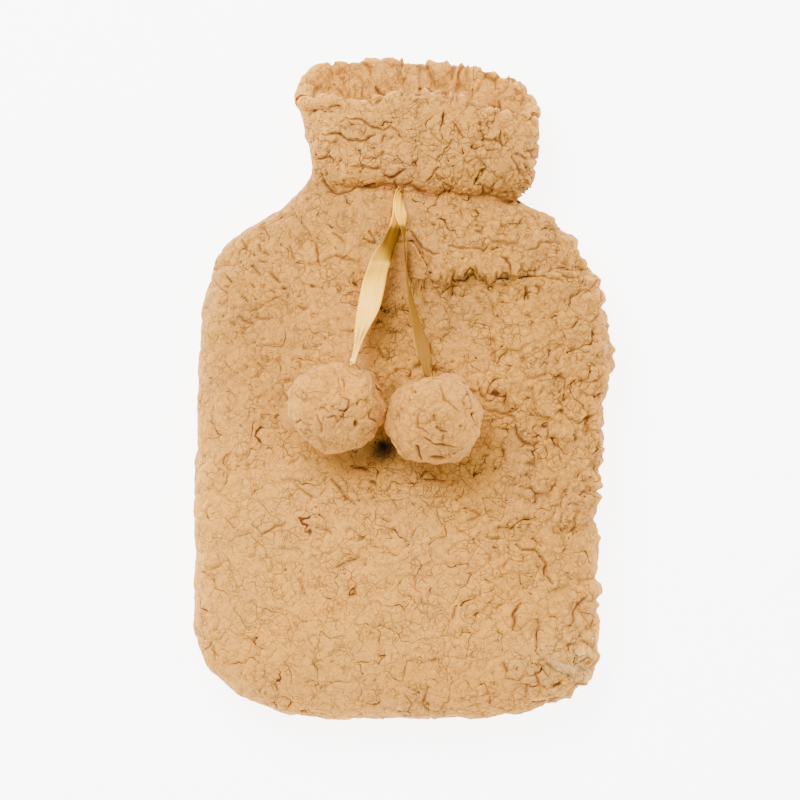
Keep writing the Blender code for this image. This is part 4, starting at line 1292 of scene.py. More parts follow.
class Nodes:
    """Short ways to add and link the nodes of one tree."""

    def __init__(self, tree):
        self.tree = tree

    def add(self, kind, label, **settings):
        """A new node with its label and settings."""
        node = self.tree.nodes.new(kind)
        node.label = label
        for key, value in settings.items():
            setattr(node, key, value)
        return node

    def feed(self, socket, value):
        """Links a socket to another one, or gives it a value."""
        if isinstance(value, bpy.types.NodeSocket):
            self.tree.links.new(value, socket)
        else:
            socket.default_value = value

    def math(self, label, operation, *values):
        """One operation on its values."""
        node = self.add("ShaderNodeMath", label, operation=operation)
        for socket, value in zip(node.inputs, values):
            self.feed(socket, value)
        return node.outputs[0]

    def ramp(self, label, value, low, high, start=0.0, end=1.0):
        """value between low and high, eased to between start and end."""
        node = self.add("ShaderNodeMapRange", label, interpolation_type="SMOOTHSTEP")
        sockets = ("Value", "From Min", "From Max", "To Min", "To Max")
        for key, part in zip(sockets, (value, low, high, start, end)):
            self.feed(node.inputs[key], part)
        return node.outputs["Result"]

    def vector(self, label, operation, *values):
        """One operation on vectors."""
        node = self.add("ShaderNodeVectorMath", label, operation=operation)
        for socket, value in zip(node.inputs, values):
            self.feed(socket, value)
        return node.outputs[0]

    def turned(self, label, place, degrees):
        """A place, turned in the plane of the front."""
        node = self.add("ShaderNodeMapping", label)
        self.feed(node.inputs["Vector"], place)
        node.inputs["Rotation"].default_value = (0.0, 0.0, math.radians(degrees))
        return node.outputs[0]

    def bump(self, label, shader, height, amount, far):
        """Relief on a shader, from a height that counts for far metres."""
        node = self.add("ShaderNodeBump", label)
        node.inputs["Strength"].default_value = amount
        node.inputs["Distance"].default_value = far
        self.feed(node.inputs["Height"], height)
        self.feed(shader.inputs["Normal"], node.outputs[0])

    def noise(self, label, place, scale, detail=2.0):
        """The outputs of a noise at a place, scale times a metre."""
        node = self.add("ShaderNodeTexNoise", label)
        self.feed(node.inputs["Vector"], place)
        self.feed(node.inputs["Scale"], scale)
        node.inputs["Detail"].default_value = detail
        return node.outputs

    def blend(self, label, share_of, first, second, kind="MIX"):
        """Two colours, blended by the second one's share."""
        node = self.add("ShaderNodeMix", label, data_type="RGBA", blend_type=kind)
        self.feed(node.inputs[0], share_of)
        self.feed(node.inputs[6], first)
        self.feed(node.inputs[7], second)
        return node.outputs[2]

    def value(self, name):
        """A value stored on the mesh's points."""
        node = self.add("ShaderNodeAttribute", name, attribute_name=name)
        return node.outputs["Fac"]


def new_material(name):
    """A new material, the way to its nodes, and its shader."""
    made = bpy.data.materials.new(name)
    made.use_nodes = True
    return made, Nodes(made.node_tree), made.node_tree.nodes["Principled BSDF"]


def wavy_place(n, place, scale, far):
    """The place, moved up to far by noise."""
    shift = n.vector("centred noise", "SUBTRACT", n.noise("wander", place, scale)["Color"], (0.5, 0.5, 0.5))
    return n.vector("moved place", "MULTIPLY_ADD", shift, (far, far, far), place)


def knobs(n, place, scale, width, kept_scale, label):
    """Small knobs that fill the plane: the thin lines of painted shade between them, which
    are broken in places, and the painted shade of the soft hollows round them."""
    cells = n.add("ShaderNodeTexVoronoi", label, feature="DISTANCE_TO_EDGE")
    n.feed(cells.inputs["Vector"], place)
    n.feed(cells.inputs["Scale"], scale)
    off = cells.outputs["Distance"]
    kept = n.noise(f"{label} kept", place, kept_scale, 2.0)["Fac"]
    wide = n.ramp(f"{label} width", kept, 0.38, 0.66, 0.15 * width, width)
    line = n.ramp(f"{label} line", off, 0.0, wide, 1.0, 0.0)
    worn = n.ramp(f"{label} worn", kept, 0.40, 0.60, 0.10, 1.0)
    line = n.math(f"{label} broken", "MULTIPLY", line, worn)
    return line, n.ramp(f"{label} hollows", off, 0.0, 0.30, 1.0, 0.0)


def dashes(n, place, turn, longer, scale, kept, label):
    """Short dark strokes of painted shade, turned by turn degrees: small spots round scattered
    points, in a place squeezed so that they come out longer, the kept ones only."""
    turned = n.turned(f"{label} turned", place, turn)
    drawn = n.vector(f"{label} drawn out", "MULTIPLY", turned, (1.0, 1.0 / longer, 0.3))
    spots = n.add("ShaderNodeTexVoronoi", label, feature="F1")
    n.feed(spots.inputs["Vector"], drawn)
    n.feed(spots.inputs["Scale"], scale)
    chosen = n.add("ShaderNodeSeparateColor", f"{label} chosen")
    n.feed(chosen.inputs[0], spots.outputs["Color"])
    size = n.math(f"{label} size", "MULTIPLY_ADD", chosen.outputs[1], 0.09, 0.10)
    reach = n.math(f"{label} reach", "DIVIDE", spots.outputs["Distance"], size)
    hole = n.ramp(f"{label} spot", reach, 0.4, 1.0, 1.0, 0.0)
    rare = n.ramp(f"{label} rare", chosen.outputs[0], kept, kept + 0.06)
    return n.math(f"{label} kept", "MULTIPLY", hole, rare)


MARKS = ("Lines", "Dashes", "Combed", "Valleys", "Fibres")
Stroke = namedtuple("Stroke", "turn longer size kept name")
STROKES = (
    Stroke(38.0, 2.8, 215.0, 0.66, "leaning left"),
    Stroke(-42.0, 2.4, 240.0, 0.70, "leaning right"),
    Stroke(95.0, 2.6, 225.0, 0.70, "lying"),
    Stroke(20.0, 1.2, 310.0, 0.66, "pits"),
)


def curl_lines_group():
    """Marks finer than the mesh, shared by all the fleece.

    Lines: thin broken lines of painted shade round curls of two sizes. Dashes: short dark
    strokes of painted shade, both ways, where curls meet. Combed: dark strokes and streaks
    of painted shade that all lean one way. Valleys: painted shade in the soft hollows
    between small knobs. Fibres: the finest roughness.
    """
    found = bpy.data.node_groups.get("curl lines")
    if found:
        return found
    group = bpy.data.node_groups.new("curl lines", "ShaderNodeTree")
    size = group.interface.new_socket("Scale", in_out="INPUT", socket_type="NodeSocketFloat")
    size.default_value = 205.0
    for mark in MARKS:
        group.interface.new_socket(mark, in_out="OUTPUT", socket_type="NodeSocketFloat")
    n = Nodes(group)
    scale = n.add("NodeGroupInput", "sizes").outputs["Scale"]
    place = n.add("ShaderNodeTexCoord", "place").outputs["Object"]
    wavy = wavy_place(n, place, 170.0, 0.0050)
    coarse, wide = knobs(n, wavy, scale, 0.085, 120.0, "knobs")
    finer, narrow = knobs(n, wavy, n.math("finer", "MULTIPLY", scale, 1.8), 0.11, 190.0, "small knobs")
    lines = n.math("lines", "MAXIMUM", coarse, n.math("fainter", "MULTIPLY", finer, 0.75))
    strokes = 0.0
    for turn, longer, size, kept, label in STROKES:
        stroke = dashes(n, wavy, turn, longer, size, kept, label)
        strokes = n.math(f"with {label}", "MAXIMUM", strokes, stroke)
    slow = wavy_place(n, place, 45.0, 0.008)
    combed_strokes = dashes(n, slow, 18.0, 3.0, 270.0, 0.58, "combed strokes")
    drawn = n.vector("combed out", "MULTIPLY", n.turned("combed", slow, 14.0), (1.0, 0.16, 1.0))
    streaks = n.noise("streak noise", drawn, 620.0, 2.0)["Fac"]
    streaks = n.ramp("streaks", streaks, 0.50, 0.72, 0.0, 0.4)
    wide = n.math("wide share", "MULTIPLY", wide, 0.55)
    out = n.add("NodeGroupOutput", "marks")
    combed = n.math("combed marks", "MAXIMUM", combed_strokes, streaks)
    valleys = n.math("valleys", "MULTIPLY_ADD", narrow, 0.45, wide)
    fibres = n.noise("fibres", wavy, 1400.0, 3.0)["Fac"]
    for mark, found in zip(MARKS, (lines, strokes, combed, valleys, fibres)):
        n.feed(out.inputs[mark], found)
    return group


def fleece_material(settings, name, tip):
    """Matt pile: pale tips, brown lines of painted shade between the clumps, finer marks of painted shade,
    painted shade from the patch table, a faint sheen.
    """
    found = bpy.data.materials.get(name)
    if found and found.get("finished"):
        return found
    made, n, shader = new_material(name)
    made["finished"] = True
    marks = n.add("ShaderNodeGroup", "curl lines", node_tree=curl_lines_group())
    lines, strokes, combed, valleys, fibres = (marks.outputs[mark] for mark in MARKS)
    place = n.add("ShaderNodeTexCoord", "place").outputs["Object"]
    crack, nap = n.value("crack"), n.value("nap")
    broad = n.noise("broad tone", place, 28.0, 2.0)["Fac"]
    broad = n.ramp("tone", broad, 0.3, 0.7)
    tone = n.blend("warm and cool", broad, (1.04, 1.0, 0.86, 1), (0.97, 0.96, 1.08, 1))
    mottled = n.ramp("mottled", n.noise("mottle", place, 330.0, 3.0)["Fac"], 0.32, 0.68, 1.04, 0.87)
    fibrous = n.ramp("fibre tone", fibres, 0.30, 0.70, 1.06, 0.92)
    mottled = n.math("fibrous", "MULTIPLY", mottled, fibrous)
    tips = n.blend("mottled tips", 1.0, tip, mottled, "MULTIPLY")
    tips = n.blend("toned tips", 1.0, tips, tone, "MULTIPLY")
    tips = n.blend("worn tips", n.value("pale"), tips, settings.worn)
    off = n.math("off the line", "ABSOLUTE", n.value("line"))
    small_off = n.math("off the small line", "ABSOLUTE", n.value("small_line"))
    fade = n.ramp("lines fade", n.noise("line fade", place, 90.0, 2.0)["Fac"], 0.34, 0.55, 0.40, 1.0)
    small_fade = n.noise("small line fade", place, 170.0, 2.0)["Fac"]
    small_fade = n.ramp("small lines fade", small_fade, 0.38, 0.58, 0.15, 0.85)
    near_small = n.ramp("near small line", small_off, 0.4, 1.8, 0.9, 0.0)
    small_line = n.ramp("on the small line", small_off, 0.2, 1.3, 1.0, 0.0)
    masks = (
        ("lines", "line", n.ramp("on the line", off, 0.25, 1.2, 1.0, 0.0), fade),
        ("small lines", "small line", small_line, small_fade),
        ("meetings", "lines meet", n.ramp("near line", off, 0.4, 1.8, 0.8, 0.0), near_small),
        ("fine lines", "line strength", lines, n.ramp("line share", crack, 0.0, 1.0, 0.34, 0.85)),
        ("strokes", "stroke strength", strokes, n.ramp("stroke share", crack, 0.1, 0.9, 0.14, 1.0)),
        ("combed", "combed share", combed, nap),
        ("valleys", "valley share", valleys, n.ramp("knobbly", n.value("knob"), 0.10, 0.95, 0.05, 0.26)),
    )
    # Painted shade down in the pile: the stored crease value, the soft shoulders beside each line and all the
    # marks below are blended towards the dark colour of the crevices
    dark = n.value("crevice")
    dark = n.math("with shoulders", "MAXIMUM", dark, n.ramp("shoulder", off, 0.8, FAR_FROM_LINE, 0.16, 0.0))
    for label, product, mark, share_of in masks:
        dark = n.math(f"with {label}", "MAXIMUM", dark, n.math(product, "MULTIPLY", mark, share_of))
    colour = n.blend("down in the pile", dark, tips, settings.crevice)
    # Painted shade from the patch table: shadows under the pompoms and the hem, and less light on the upper
    # part
    shaded = n.math("shaded", "MULTIPLY_ADD", n.value("shade"), -0.85, 1.0)
    colour = n.blend("where it lies darker", 1.0, colour, shaded, "MULTIPLY")
    n.feed(shader.inputs["Base Color"], colour)
    n.feed(shader.inputs["Roughness"], n.ramp("roughness", dark, 0.0, 1.0, 0.86, 1.0))
    shader.inputs["Sheen Weight"].default_value = settings.sheen
    shader.inputs["Sheen Roughness"].default_value = 0.5
    shader.inputs["Sheen Tint"].default_value = (1.0, 0.62, 0.28, 1.0)
    shader.inputs["Specular IOR Level"].default_value = 0.10
    relief = n.math("relief", "MULTIPLY", fibres, 0.22)
    relief = n.math("relief with knobs", "MULTIPLY_ADD", valleys, -0.75, relief)
    relief = n.math("relief with marks", "MULTIPLY_ADD", dark, -0.8, relief)
    n.bump("pile relief", shader, relief, 0.55, 0.65 * MM)
    made.diffuse_color = tuple(tip)
    return made


def satin_material(settings):
    """Satin: soft gloss, fine ribs across the ribbon, long faint weft streaks and painted shade where it
    stands on edge or lies in shade.
    """
    made, n, shader = new_material("satin")
    strip = n.add("ShaderNodeUVMap", "strip", uv_map="strip").outputs[0]
    parts = n.add("ShaderNodeSeparateXYZ", "strip parts")
    n.feed(parts.inputs[0], strip)
    ribs = n.math("ribs", "SINE", n.math("rib turns", "MULTIPLY", parts.outputs[1], 12000.0))
    drawn = n.add("ShaderNodeMapping", "drawn out")
    n.feed(drawn.inputs["Vector"], strip)
    drawn.inputs["Scale"].default_value = (1.0, 0.06, 1.0)
    streak = n.noise("threads", drawn.outputs[0], 1500.0, 2.0)["Fac"]
    tone = n.ramp("thread", streak, 0.35, 0.65)
    tone = n.blend("thread tone", tone, (0.92, 0.90, 0.86, 1), (1.05, 1.04, 1.02, 1))
    satin = n.blend("satin", 1.0, settings.colour, tone, "MULTIPLY")
    # Painted shade: by the ribbon's shade value the satin is blended towards the darker colour of its folds
    folded = n.ramp("folded away", n.value("shade"), 0.1, 0.9, 0.0, 0.9)
    n.feed(shader.inputs["Base Color"], n.blend("satin in the folds", folded, satin, settings.fold_shade))
    rough = n.ramp("roughness", streak, 0.3, 0.7, settings.gloss, settings.gloss + 0.1)
    n.feed(shader.inputs["Roughness"], rough)
    n.feed(shader.inputs["Specular IOR Level"], n.ramp("gloss", folded, 0.3, 0.8, 0.30, 0.04))
    n.bump("weave", shader, n.math("weave relief", "MULTIPLY_ADD", ribs, 0.2, streak), 0.12, 0.1 * MM)
    made.diffuse_color = tuple(settings.colour)
    return made


def thread_material(settings):
    """Plain sewing thread: matt, pale, with the twist of its strands."""
    made, n, shader = new_material("thread")
    place = n.add("ShaderNodeTexCoord", "place").outputs["Object"]
    twist = n.noise("twist", place, 2600.0, 1.0)["Fac"]
    tone = n.blend("strands", twist, (0.86, 0.84, 0.80, 1), (1.0, 1.0, 1.0, 1))
    n.feed(shader.inputs["Base Color"], n.blend("thread colour", 1.0, settings.thread, tone, "MULTIPLY"))
    n.feed(shader.inputs["Roughness"], n.ramp("roughness", twist, 0.0, 1.0, 0.6, 0.8))
    return made


def floor_material(settings):
    """A plain pale floor, very slightly uneven in tone."""
    made, n, shader = new_material("floor")
    place = n.add("ShaderNodeTexCoord", "place").outputs["Object"]
    tone = n.noise("floor tone", place, 3.0, 2.0)["Fac"]
    darker = [part * 0.995 for part in settings.floor]
    n.feed(shader.inputs["Base Color"], n.blend("floor", tone, settings.floor, darker))
    shader.inputs["Roughness"].default_value = 0.85
    shader.inputs["Emission Color"].default_value = (1.0, 1.0, 1.0, 1.0)
    shader.inputs["Emission Strength"].default_value = settings.glow
    return made


# ---------------------------------------------------------------- the pieces


def near_collar(points):
    """The strength of the lobes at a rim, less towards the side seams."""
    x = points[:, 0]
    return 1.35 - 1.0 * smoothstep(-x, *RIM_LEFT_FADE) - 0.6 * smoothstep(x, *RIM_RIGHT_FADE)


def along_hem(points):
    """The hem's lobes are strong on the right, and lie flat on the left."""
    return 0.12 + 1.18 * smoothstep(points[:, 0], *HEM_LOBES_FADE)


def levelled(points):
    """1 where the hem is combed level with the cloth below it: left of the notch, and
    near the right seam."""
    left = 1.0 - smoothstep(points[:, 0], *HEM_LEVEL_LEFT)
    return left + smoothstep(points[:, 0], *HEM_LEVEL_RIGHT)


def below_hem(points):
    """How far a point is below the hem, along the cloth's length."""
    return through(column(HEM, "x"), column(HEM, "y"), points[:, 0]) - points[:, 1]


def no_shift(points, normal, deep, y):
    """A panel that stays on its form."""
    return np.zeros_like(points)


def settled_front(points, normal, deep, y):
    """The lower front is drawn in where it runs up under the flap. Below the hem its
    pile fills that again, and on the left it swells up to meet the hem."""
    below, level = below_hem(points), levelled(points)
    left, right = outline(y)
    tuck = FLAP_LIFT * smoothstep(y, *TUCK_FADE)
    s = (points[:, 0] - (left + right) / 2) / ((right - left) / 2 - tuck)
    closed = level * (LEVEL_CLOSED[0] * MM + LEVEL_CLOSED[1] * MM * uneven(points, 9 * MM, 91))
    at_seam = smoothstep(np.abs(s), 0.80, 0.95)
    closed_at_seam = (SEAM_CLOSED[0] + SEAM_CLOSED[1] * uneven(points, 6 * MM, 92)) * MM * at_seam
    closed = np.maximum(closed, closed_at_seam)
    shown = smoothstep(below + closed, 0.3 * MM, 2.0 * MM) * (deep < 0.5)
    swell = HEM_SWELL * level * np.exp(-((below / SWELL_FADE) ** 2)) * shown
    x, along = points[:, 0] / MM, points[:, 1] / MM
    reached = 1.0 - sum(h.share * np.exp(-(((x - h.x) / h.half) ** 2)) for h in HEM_HOLLOWS)
    reached = np.clip(reached + 0.5 * uneven(points, 6 * MM, 94), 0.0, 1.0)
    swell = swell + HEM_UNDER * (1.0 - level) * reached * np.exp(-((below / UNDER_FADE) ** 2)) * shown
    off_notch = (x - NOTCH_MIDDLE[0]) / NOTCH_HALF[0], (along - NOTCH_MIDDLE[1]) / NOTCH_HALF[1]
    swell = swell + NOTCH_SWELL * np.exp(-(off_notch[0] ** 4) - off_notch[1] ** 4) * shown
    shift = np.zeros_like(points)
    shift[:, 0] = tuck * s * shown
    shift[:, 2] = swell * smoothstep(normal[:, 2], 0.2, 0.8)
    return shift


def settled_flap(points, normal, deep, y):
    """Where it lies combed down, the flap thins out towards its hem; elsewhere the hem
    hangs in round lobes."""
    above, level = -below_hem(points), levelled(points)
    sunk = HEM_SINK * level * np.exp(-((above / SINK_FADE) ** 2))
    x = points[:, 0] / MM
    inside = [np.exp(-(((x - lobe.x) / lobe.half) ** 4)) for lobe in HEM_LOBES]
    hanging = sum(lobe.drop * share_in for lobe, share_in in zip(HEM_LOBES, inside)) * MM
    ragged = (HEM_RAGGED * uneven(points, 9 * MM, 93) - hanging) * np.exp(-((above / HANG_FADE) ** 2))
    puffed = HEM_PUFF * (np.clip(sum(inside), 0.0, 1.0) - 0.8) * np.exp(-((above / PUFF_FADE) ** 2))
    drawn_in = NECK_CREASE_DEPTH * neck_crease(points) * (0.6 + 0.4 * uneven(points, 15 * MM, 72))
    shift = np.zeros_like(points)
    shift[:, 1] = ragged * (1.0 - level) * smoothstep(points[:, 0], *RAGGED_FROM)
    in_lobes = smoothstep(x, *LOBES_FROM) * (1.0 - smoothstep(x, *LOBES_TO))
    upward = (1.0 - deep) * smoothstep(normal[:, 2] + deep, 0.2, 0.8)
    shift[:, 2] = (puffed * in_lobes - sunk - drawn_in) * upward
    return shift


class COVER_OT_back(Operator):
    """Make the back panel, with the back of the collar"""

    bl_idname = "cover.make_back"
    bl_label = "Back Panel"

    def execute(self, context):
        settings = context.scene.cover_fleece
        pitch = BACK_PITCH * settings.pitch
        path = round_trip(back_form, BOTTOM_Y, RIM_Y - 1.0 * MM, pitch, BACK_FINE_Y, False)

        def calm(points, deep, y):
            inside = smoothstep(y, *BACK_INSIDE_FADE)
            on_floor = 0.12 + 0.88 * smoothstep(points[:, 2], *FLOOR_FADE_Z)
            return np.where(deep > 0.5, inside, 1.0) * on_floor

        rim = Edge(path.tip, fade=20 * MM, stretch=2.0, width=1.9, lean=0.55, strength=near_collar)
        made = fleece_wall(
            "fleece_back", back_form, path, BACK_COLUMNS, -1.0, settings, [rim], calm, no_shift, no_lift
        )
        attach(made, "root")
        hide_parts("back_panel")
        return {"FINISHED"}


class COVER_OT_front(Operator):
    """Make the lower front panel"""

    bl_idname = "cover.make_front"
    bl_label = "Lower Front Panel"

    def execute(self, context):
        settings = context.scene.cover_fleece
        pitch = FRONT_PITCH * settings.pitch
        path = round_trip(lower_form, BOTTOM_Y, TUCK_Y - WALL / 2, pitch, FRONT_FINE_Y, False)

        def calm(points, deep, y):
            shown = smoothstep(below_hem(points), *UNDER_HEM_FADE)
            return np.where(deep > 0.5, 0.0, 1.0) * (0.05 + 0.95 * shown)

        made = fleece_wall(
            "fleece_front", lower_form, path, FRONT_COLUMNS, 1.0, settings, [], calm, settled_front, no_lift
        )
        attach(made, "root")
        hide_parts("front_lower")
        return {"FINISHED"}


class COVER_OT_flap(Operator):
    """Make the upper front panel, with the front of the collar"""

    bl_idname = "cover.make_flap"
    bl_label = "Upper Front Panel"

    def execute(self, context):
        settings = context.scene.cover_fleece
        pitch = FLAP_PITCH * settings.pitch
        path = round_trip(upper_form, HEM_Y + WALL / 2, RIM_Y - WALL / 2, pitch, FLAP_FINE_Y, True)

        def calm(points, deep, y):
            inside = 0.7 * smoothstep(y, *FLAP_INSIDE_FADE)
            return np.where(deep > 0.5, inside, 1.0)

        rim = Edge(path.tip, fade=7 * MM, stretch=1.6, width=1.5, lean=0.0, strength=near_collar)
        hem = Edge(0, fade=8.0 * MM, stretch=1.2, width=1.35, lean=0.0, strength=along_hem)
        edges = [rim, hem]
        made = fleece_wall(
            "fleece_flap", upper_form, path, FLAP_COLUMNS, 1.0, settings, edges, calm, settled_flap, flap_lift
        )
        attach(made, "root")
        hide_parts("front_upper")
        return {"FINISHED"}


def cube_ball(steps):
    """Points and squares of a unit ball, from the six grids of a cube pushed out.

    Each grid is the tangent of even angles, so the squares are nearly alike.
    """
    even = np.tan(np.linspace(-math.pi / 4, math.pi / 4, steps + 1))
    u, v = np.meshgrid(even, even, indexing="ij")
    one = np.ones_like(u)
    sides = [(one, u, v), (-one, v, u), (v, one, u), (u, -one, v), (u, v, one), (v, u, -one)]
    points = unit(np.concatenate([np.stack(side, axis=-1).reshape(-1, 3) for side in sides]))
    index = np.arange((steps + 1) ** 2).reshape(steps + 1, steps + 1)
    square = np.stack([index[:-1, :-1], index[1:, :-1], index[1:, 1:], index[:-1, 1:]], axis=-1)
    quads = np.concatenate([square.reshape(-1, 4) + k * (steps + 1) ** 2 for k in range(6)])
    _, first, again = np.unique(np.round(points, 6), axis=0, return_index=True, return_inverse=True)
    return points[first], again.ravel()[quads]


class COVER_OT_pompoms(Operator):
    """Make the two fleece pompoms"""

    bl_idname = "cover.make_pompoms"
    bl_label = "Pompoms"

    def execute(self, context):
        settings = context.scene.cover_pompoms
        fleece = context.scene.cover_fleece
        ball, quads = cube_ball(settings.steps)
        for spec, tail in zip(POMPOMS, (LEFT_TAIL, RIGHT_TAIL)):
            half = np.array([spec.half_x, spec.half_y, spec.half_z]) * MM
            x, y = spec.x * MM, spec.y * MM
            ground = float(cloth_height(np.array([x]), np.array([y]))[0])
            centre = np.array([x, y, ground + half[2] + spec.rest * MM])
            points = centre + ball * half
            knob, crack = np.full(len(ball), POMPOM_KNOB), np.full(len(ball), POMPOM_CRACK)
            height, values = curls(
                points, knob, 0.2 * crack,
                settings.clump, settings.curl, fleece.warp, settings.depth, spec.seed,
            )
            height += settings.lump * swells(points, BROAD_LUMP, spec.seed + 70)
            height += 0.45 * settings.lump * swells(points, SMALL_LUMP, spec.seed + 75)
            tied = tail_line(tail)[-1] - points
            height -= settings.drawn_in * np.exp(-np.sum(tied**2, axis=1) / DRAWN_IN_REACH**2)
            # The pompoms' creases: how deep they are cut, and how much painted shade darkens their colour
            crevice = hand_creases(wander(points, *POMPOM_BEND, spec.seed + 78), POMPOM_CREASES)
            crevice *= smoothstep(points[:, 2] - centre[2], 0.0, 8 * MM)
            height -= CREASE_DEPTH * crevice
            values["crack"] = crack
            values["knob"] = knob
            values["crevice"] = crevice
            for name in ("nap", "shade", "pale"):
                values[name] = np.zeros(len(ball))
            finish = fleece_material(fleece, "pompom fleece", settings.tip)
            points = points + unit(ball / half) * height[:, None]
            made = piece(spec.name, points, quads, NO_TRIANGLES, finish, values)
            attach(made, "root")
            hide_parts(spec.node)
        return {"FINISHED"}


def tail_line(stations):
    """The points that a tail's middle line passes through."""
    x, y = column(stations, "x"), column(stations, "y")
    return np.stack([x, y, cloth_height(x, y) + column(stations, "lift")], axis=-1)


def ribbon_frame(stations, step):
    """The middle line of a tail, its width, and the directions across and out of it.

    The line is the smooth curve through the stations; across is level, turned
    about the line by the station's turn.
    """
    line = tail_line(stations)
    run = np.concatenate([[0.0], np.cumsum(np.linalg.norm(np.diff(line, axis=0), axis=1))])
    at = np.linspace(0.0, run[-1], round(run[-1] / step) + 1)
    middle = np.stack([through(run, line[:, k], at) for k in range(3)], axis=-1)
    turn = np.radians(through(run, column(stations, "turn", 1.0), at))
    width = through(run, column(stations, "width"), at)
    ahead = unit(np.gradient(middle, axis=0))
    level = unit(np.array([1.0, 0.0, 0.0]) - ahead * ahead[:, :1])
    upright = np.cross(level, ahead)
    side = level * np.cos(turn)[:, None] + upright * np.sin(turn)[:, None]
    return middle, width, side, unit(np.cross(side, ahead)), at


def ribbon_piece(name, stations, settings, seed, finish, dim):
    """A satin strip: a thin closed wall along its line, gathered where it is narrow.
    dim is how much painted shade its lower half gets."""
    middle, width, side, face, at = ribbon_frame(stations, RIBBON_ROW)
    across = np.linspace(-0.5, 0.5, RIBBON_COLUMNS)
    full = column(stations, "width").max()
    gather = 1.0 - width / full
    place = np.stack(np.broadcast_arrays(across[None, :] * 14 * MM, at[:, None] * 0.25, 0.0), axis=-1)
    ripple = settings.ripple * swells(place.reshape(-1, 3), 4.5 * MM, seed).reshape(len(at), -1)
    pleats = PLEAT_HEIGHT * gather[:, None] * np.sin(across[None, :] * 2 * math.pi * PLEATS)
    spine = middle[:, None, :] + side[:, None, :] * (width[:, None] * across[None, :])[..., None]
    spine = spine + face[:, None, :] * (ripple + pleats)[..., None]
    half = face[:, None, :] * settings.thickness / 2
    ring = np.concatenate([spine + half, (spine - half)[:, ::-1]], axis=1)
    rows, columns = ring.shape[:2]
    index = np.arange(rows * columns).reshape(rows, columns)
    after = np.roll(index, -1, axis=1)
    quads = np.stack([index[:-1], after[:-1], after[1:], index[1:]], axis=-1).reshape(-1, 4)
    half_count = columns // 2
    near, far = index[[0, -1], :half_count], index[[0, -1], : half_count - 1 : -1]
    first = np.stack([near[0, :-1], far[0, :-1], far[0, 1:], near[0, 1:]], axis=-1)
    last = np.stack([near[1, :-1], near[1, 1:], far[1, 1:], far[1, :-1]], axis=-1)
    # Painted shade: the steeper a face stands, the darker it is painted; where a tail folds over, above
    # SHADOW_Y, and low on the right tail it is darker still, with its left edge kept lighter as a painted
    # highlight; the band near the top gets little
    steep = 1.0 - np.abs(unit(np.cross(np.gradient(spine, axis=1), np.gradient(spine, axis=0)))[..., 2])
    steep = np.concatenate([steep, steep[:, ::-1]], axis=1).ravel()
    along = ring[..., 1].ravel()
    hem_shadow = smoothstep(along, *SHADOW_Y)
    band = smoothstep(along, *BAND_Y)
    lit_edge = np.broadcast_to(smoothstep(-across, 0.36, 0.50), (len(at), len(across)))
    lit_edge = np.concatenate([lit_edge, lit_edge[:, ::-1]], axis=1).ravel()
    low = dim * (1.0 - 0.8 * lit_edge) * (1.0 - smoothstep(along, *DIM_Y))
    values = {"shade": np.clip((steep + 0.35 * hem_shadow) * (1.0 - 0.85 * band) + low, 0.0, 1.0)}
    quads = np.concatenate([quads, first, last])
    made = piece(name, ring.reshape(-1, 3), quads, NO_TRIANGLES, finish, values)
    layer = made.data.uv_layers.new(name="strip")
    corner = np.empty(len(made.data.loops), dtype=np.int32)
    made.data.loops.foreach_get("vertex_index", corner)
    wide = np.concatenate([across, across[::-1]]) * full
    flat = np.stack(np.broadcast_arrays(wide[None, :], at[:, None]), axis=-1).reshape(-1, 2)
    layer.data.foreach_set("uv", flat[corner].astype(np.float32).ravel())
    return made, float(at[-1])


def thread_knot(name, stations, finish):
    """A few turns of thread wound round the drawn-in end of a tail, as one tube: an
    oval round the tail's line that moves on evenly along it."""
    middle, width, side, face = ribbon_frame(stations, RIBBON_ROW)[:4]
    centre, ahead = middle[-4], unit(middle[-1] - middle[-8])
    turns = np.linspace(0.0, 2 * math.pi * THREAD_TURNS, 24 * THREAD_TURNS + 1)
    reach = 0.34 * width[-4]
    line = centre + ahead * ((turns / turns[-1] - 0.5) * THREAD_RUN)[:, None]
    line = line + side[-4] * (reach * np.cos(turns))[:, None]
    line = line + face[-4] * (0.75 * reach * np.sin(turns))[:, None]
    tangent = unit(np.gradient(line, axis=0))
    outward = unit(line - centre)
    outward = unit(outward - tangent * np.sum(outward * tangent, axis=1, keepdims=True))
    beside = np.cross(tangent, outward)
    angle = np.linspace(0.0, 2 * math.pi, 9)[:-1]
    radius = THREAD_HALF * np.sqrt(np.clip(1.0 - np.abs(np.linspace(-1, 1, len(line))) ** 30, 0.02, 1.0))
    ring = outward[:, None, :] * np.cos(angle)[None, :, None]
    ring = ring + beside[:, None, :] * np.sin(angle)[None, :, None]
    grid = line[:, None, :] + ring * radius[:, None, None]
    rows, columns = grid.shape[:2]
    index = np.arange(rows * columns).reshape(rows, columns)
    after = np.roll(index, -1, axis=1)
    quads = np.stack([index[:-1], index[1:], after[1:], after[:-1]], axis=-1).reshape(-1, 4)
    fan = np.arange(1, columns - 1)
    first = np.stack([index[0, 0] + 0 * fan, index[0, fan], index[0, fan + 1]], axis=-1)
    last = np.stack([index[-1, 0] + 0 * fan, index[-1, fan + 1], index[-1, fan]], axis=-1)
    return piece(name, grid.reshape(-1, 3), quads, np.concatenate([first, last]), finish)


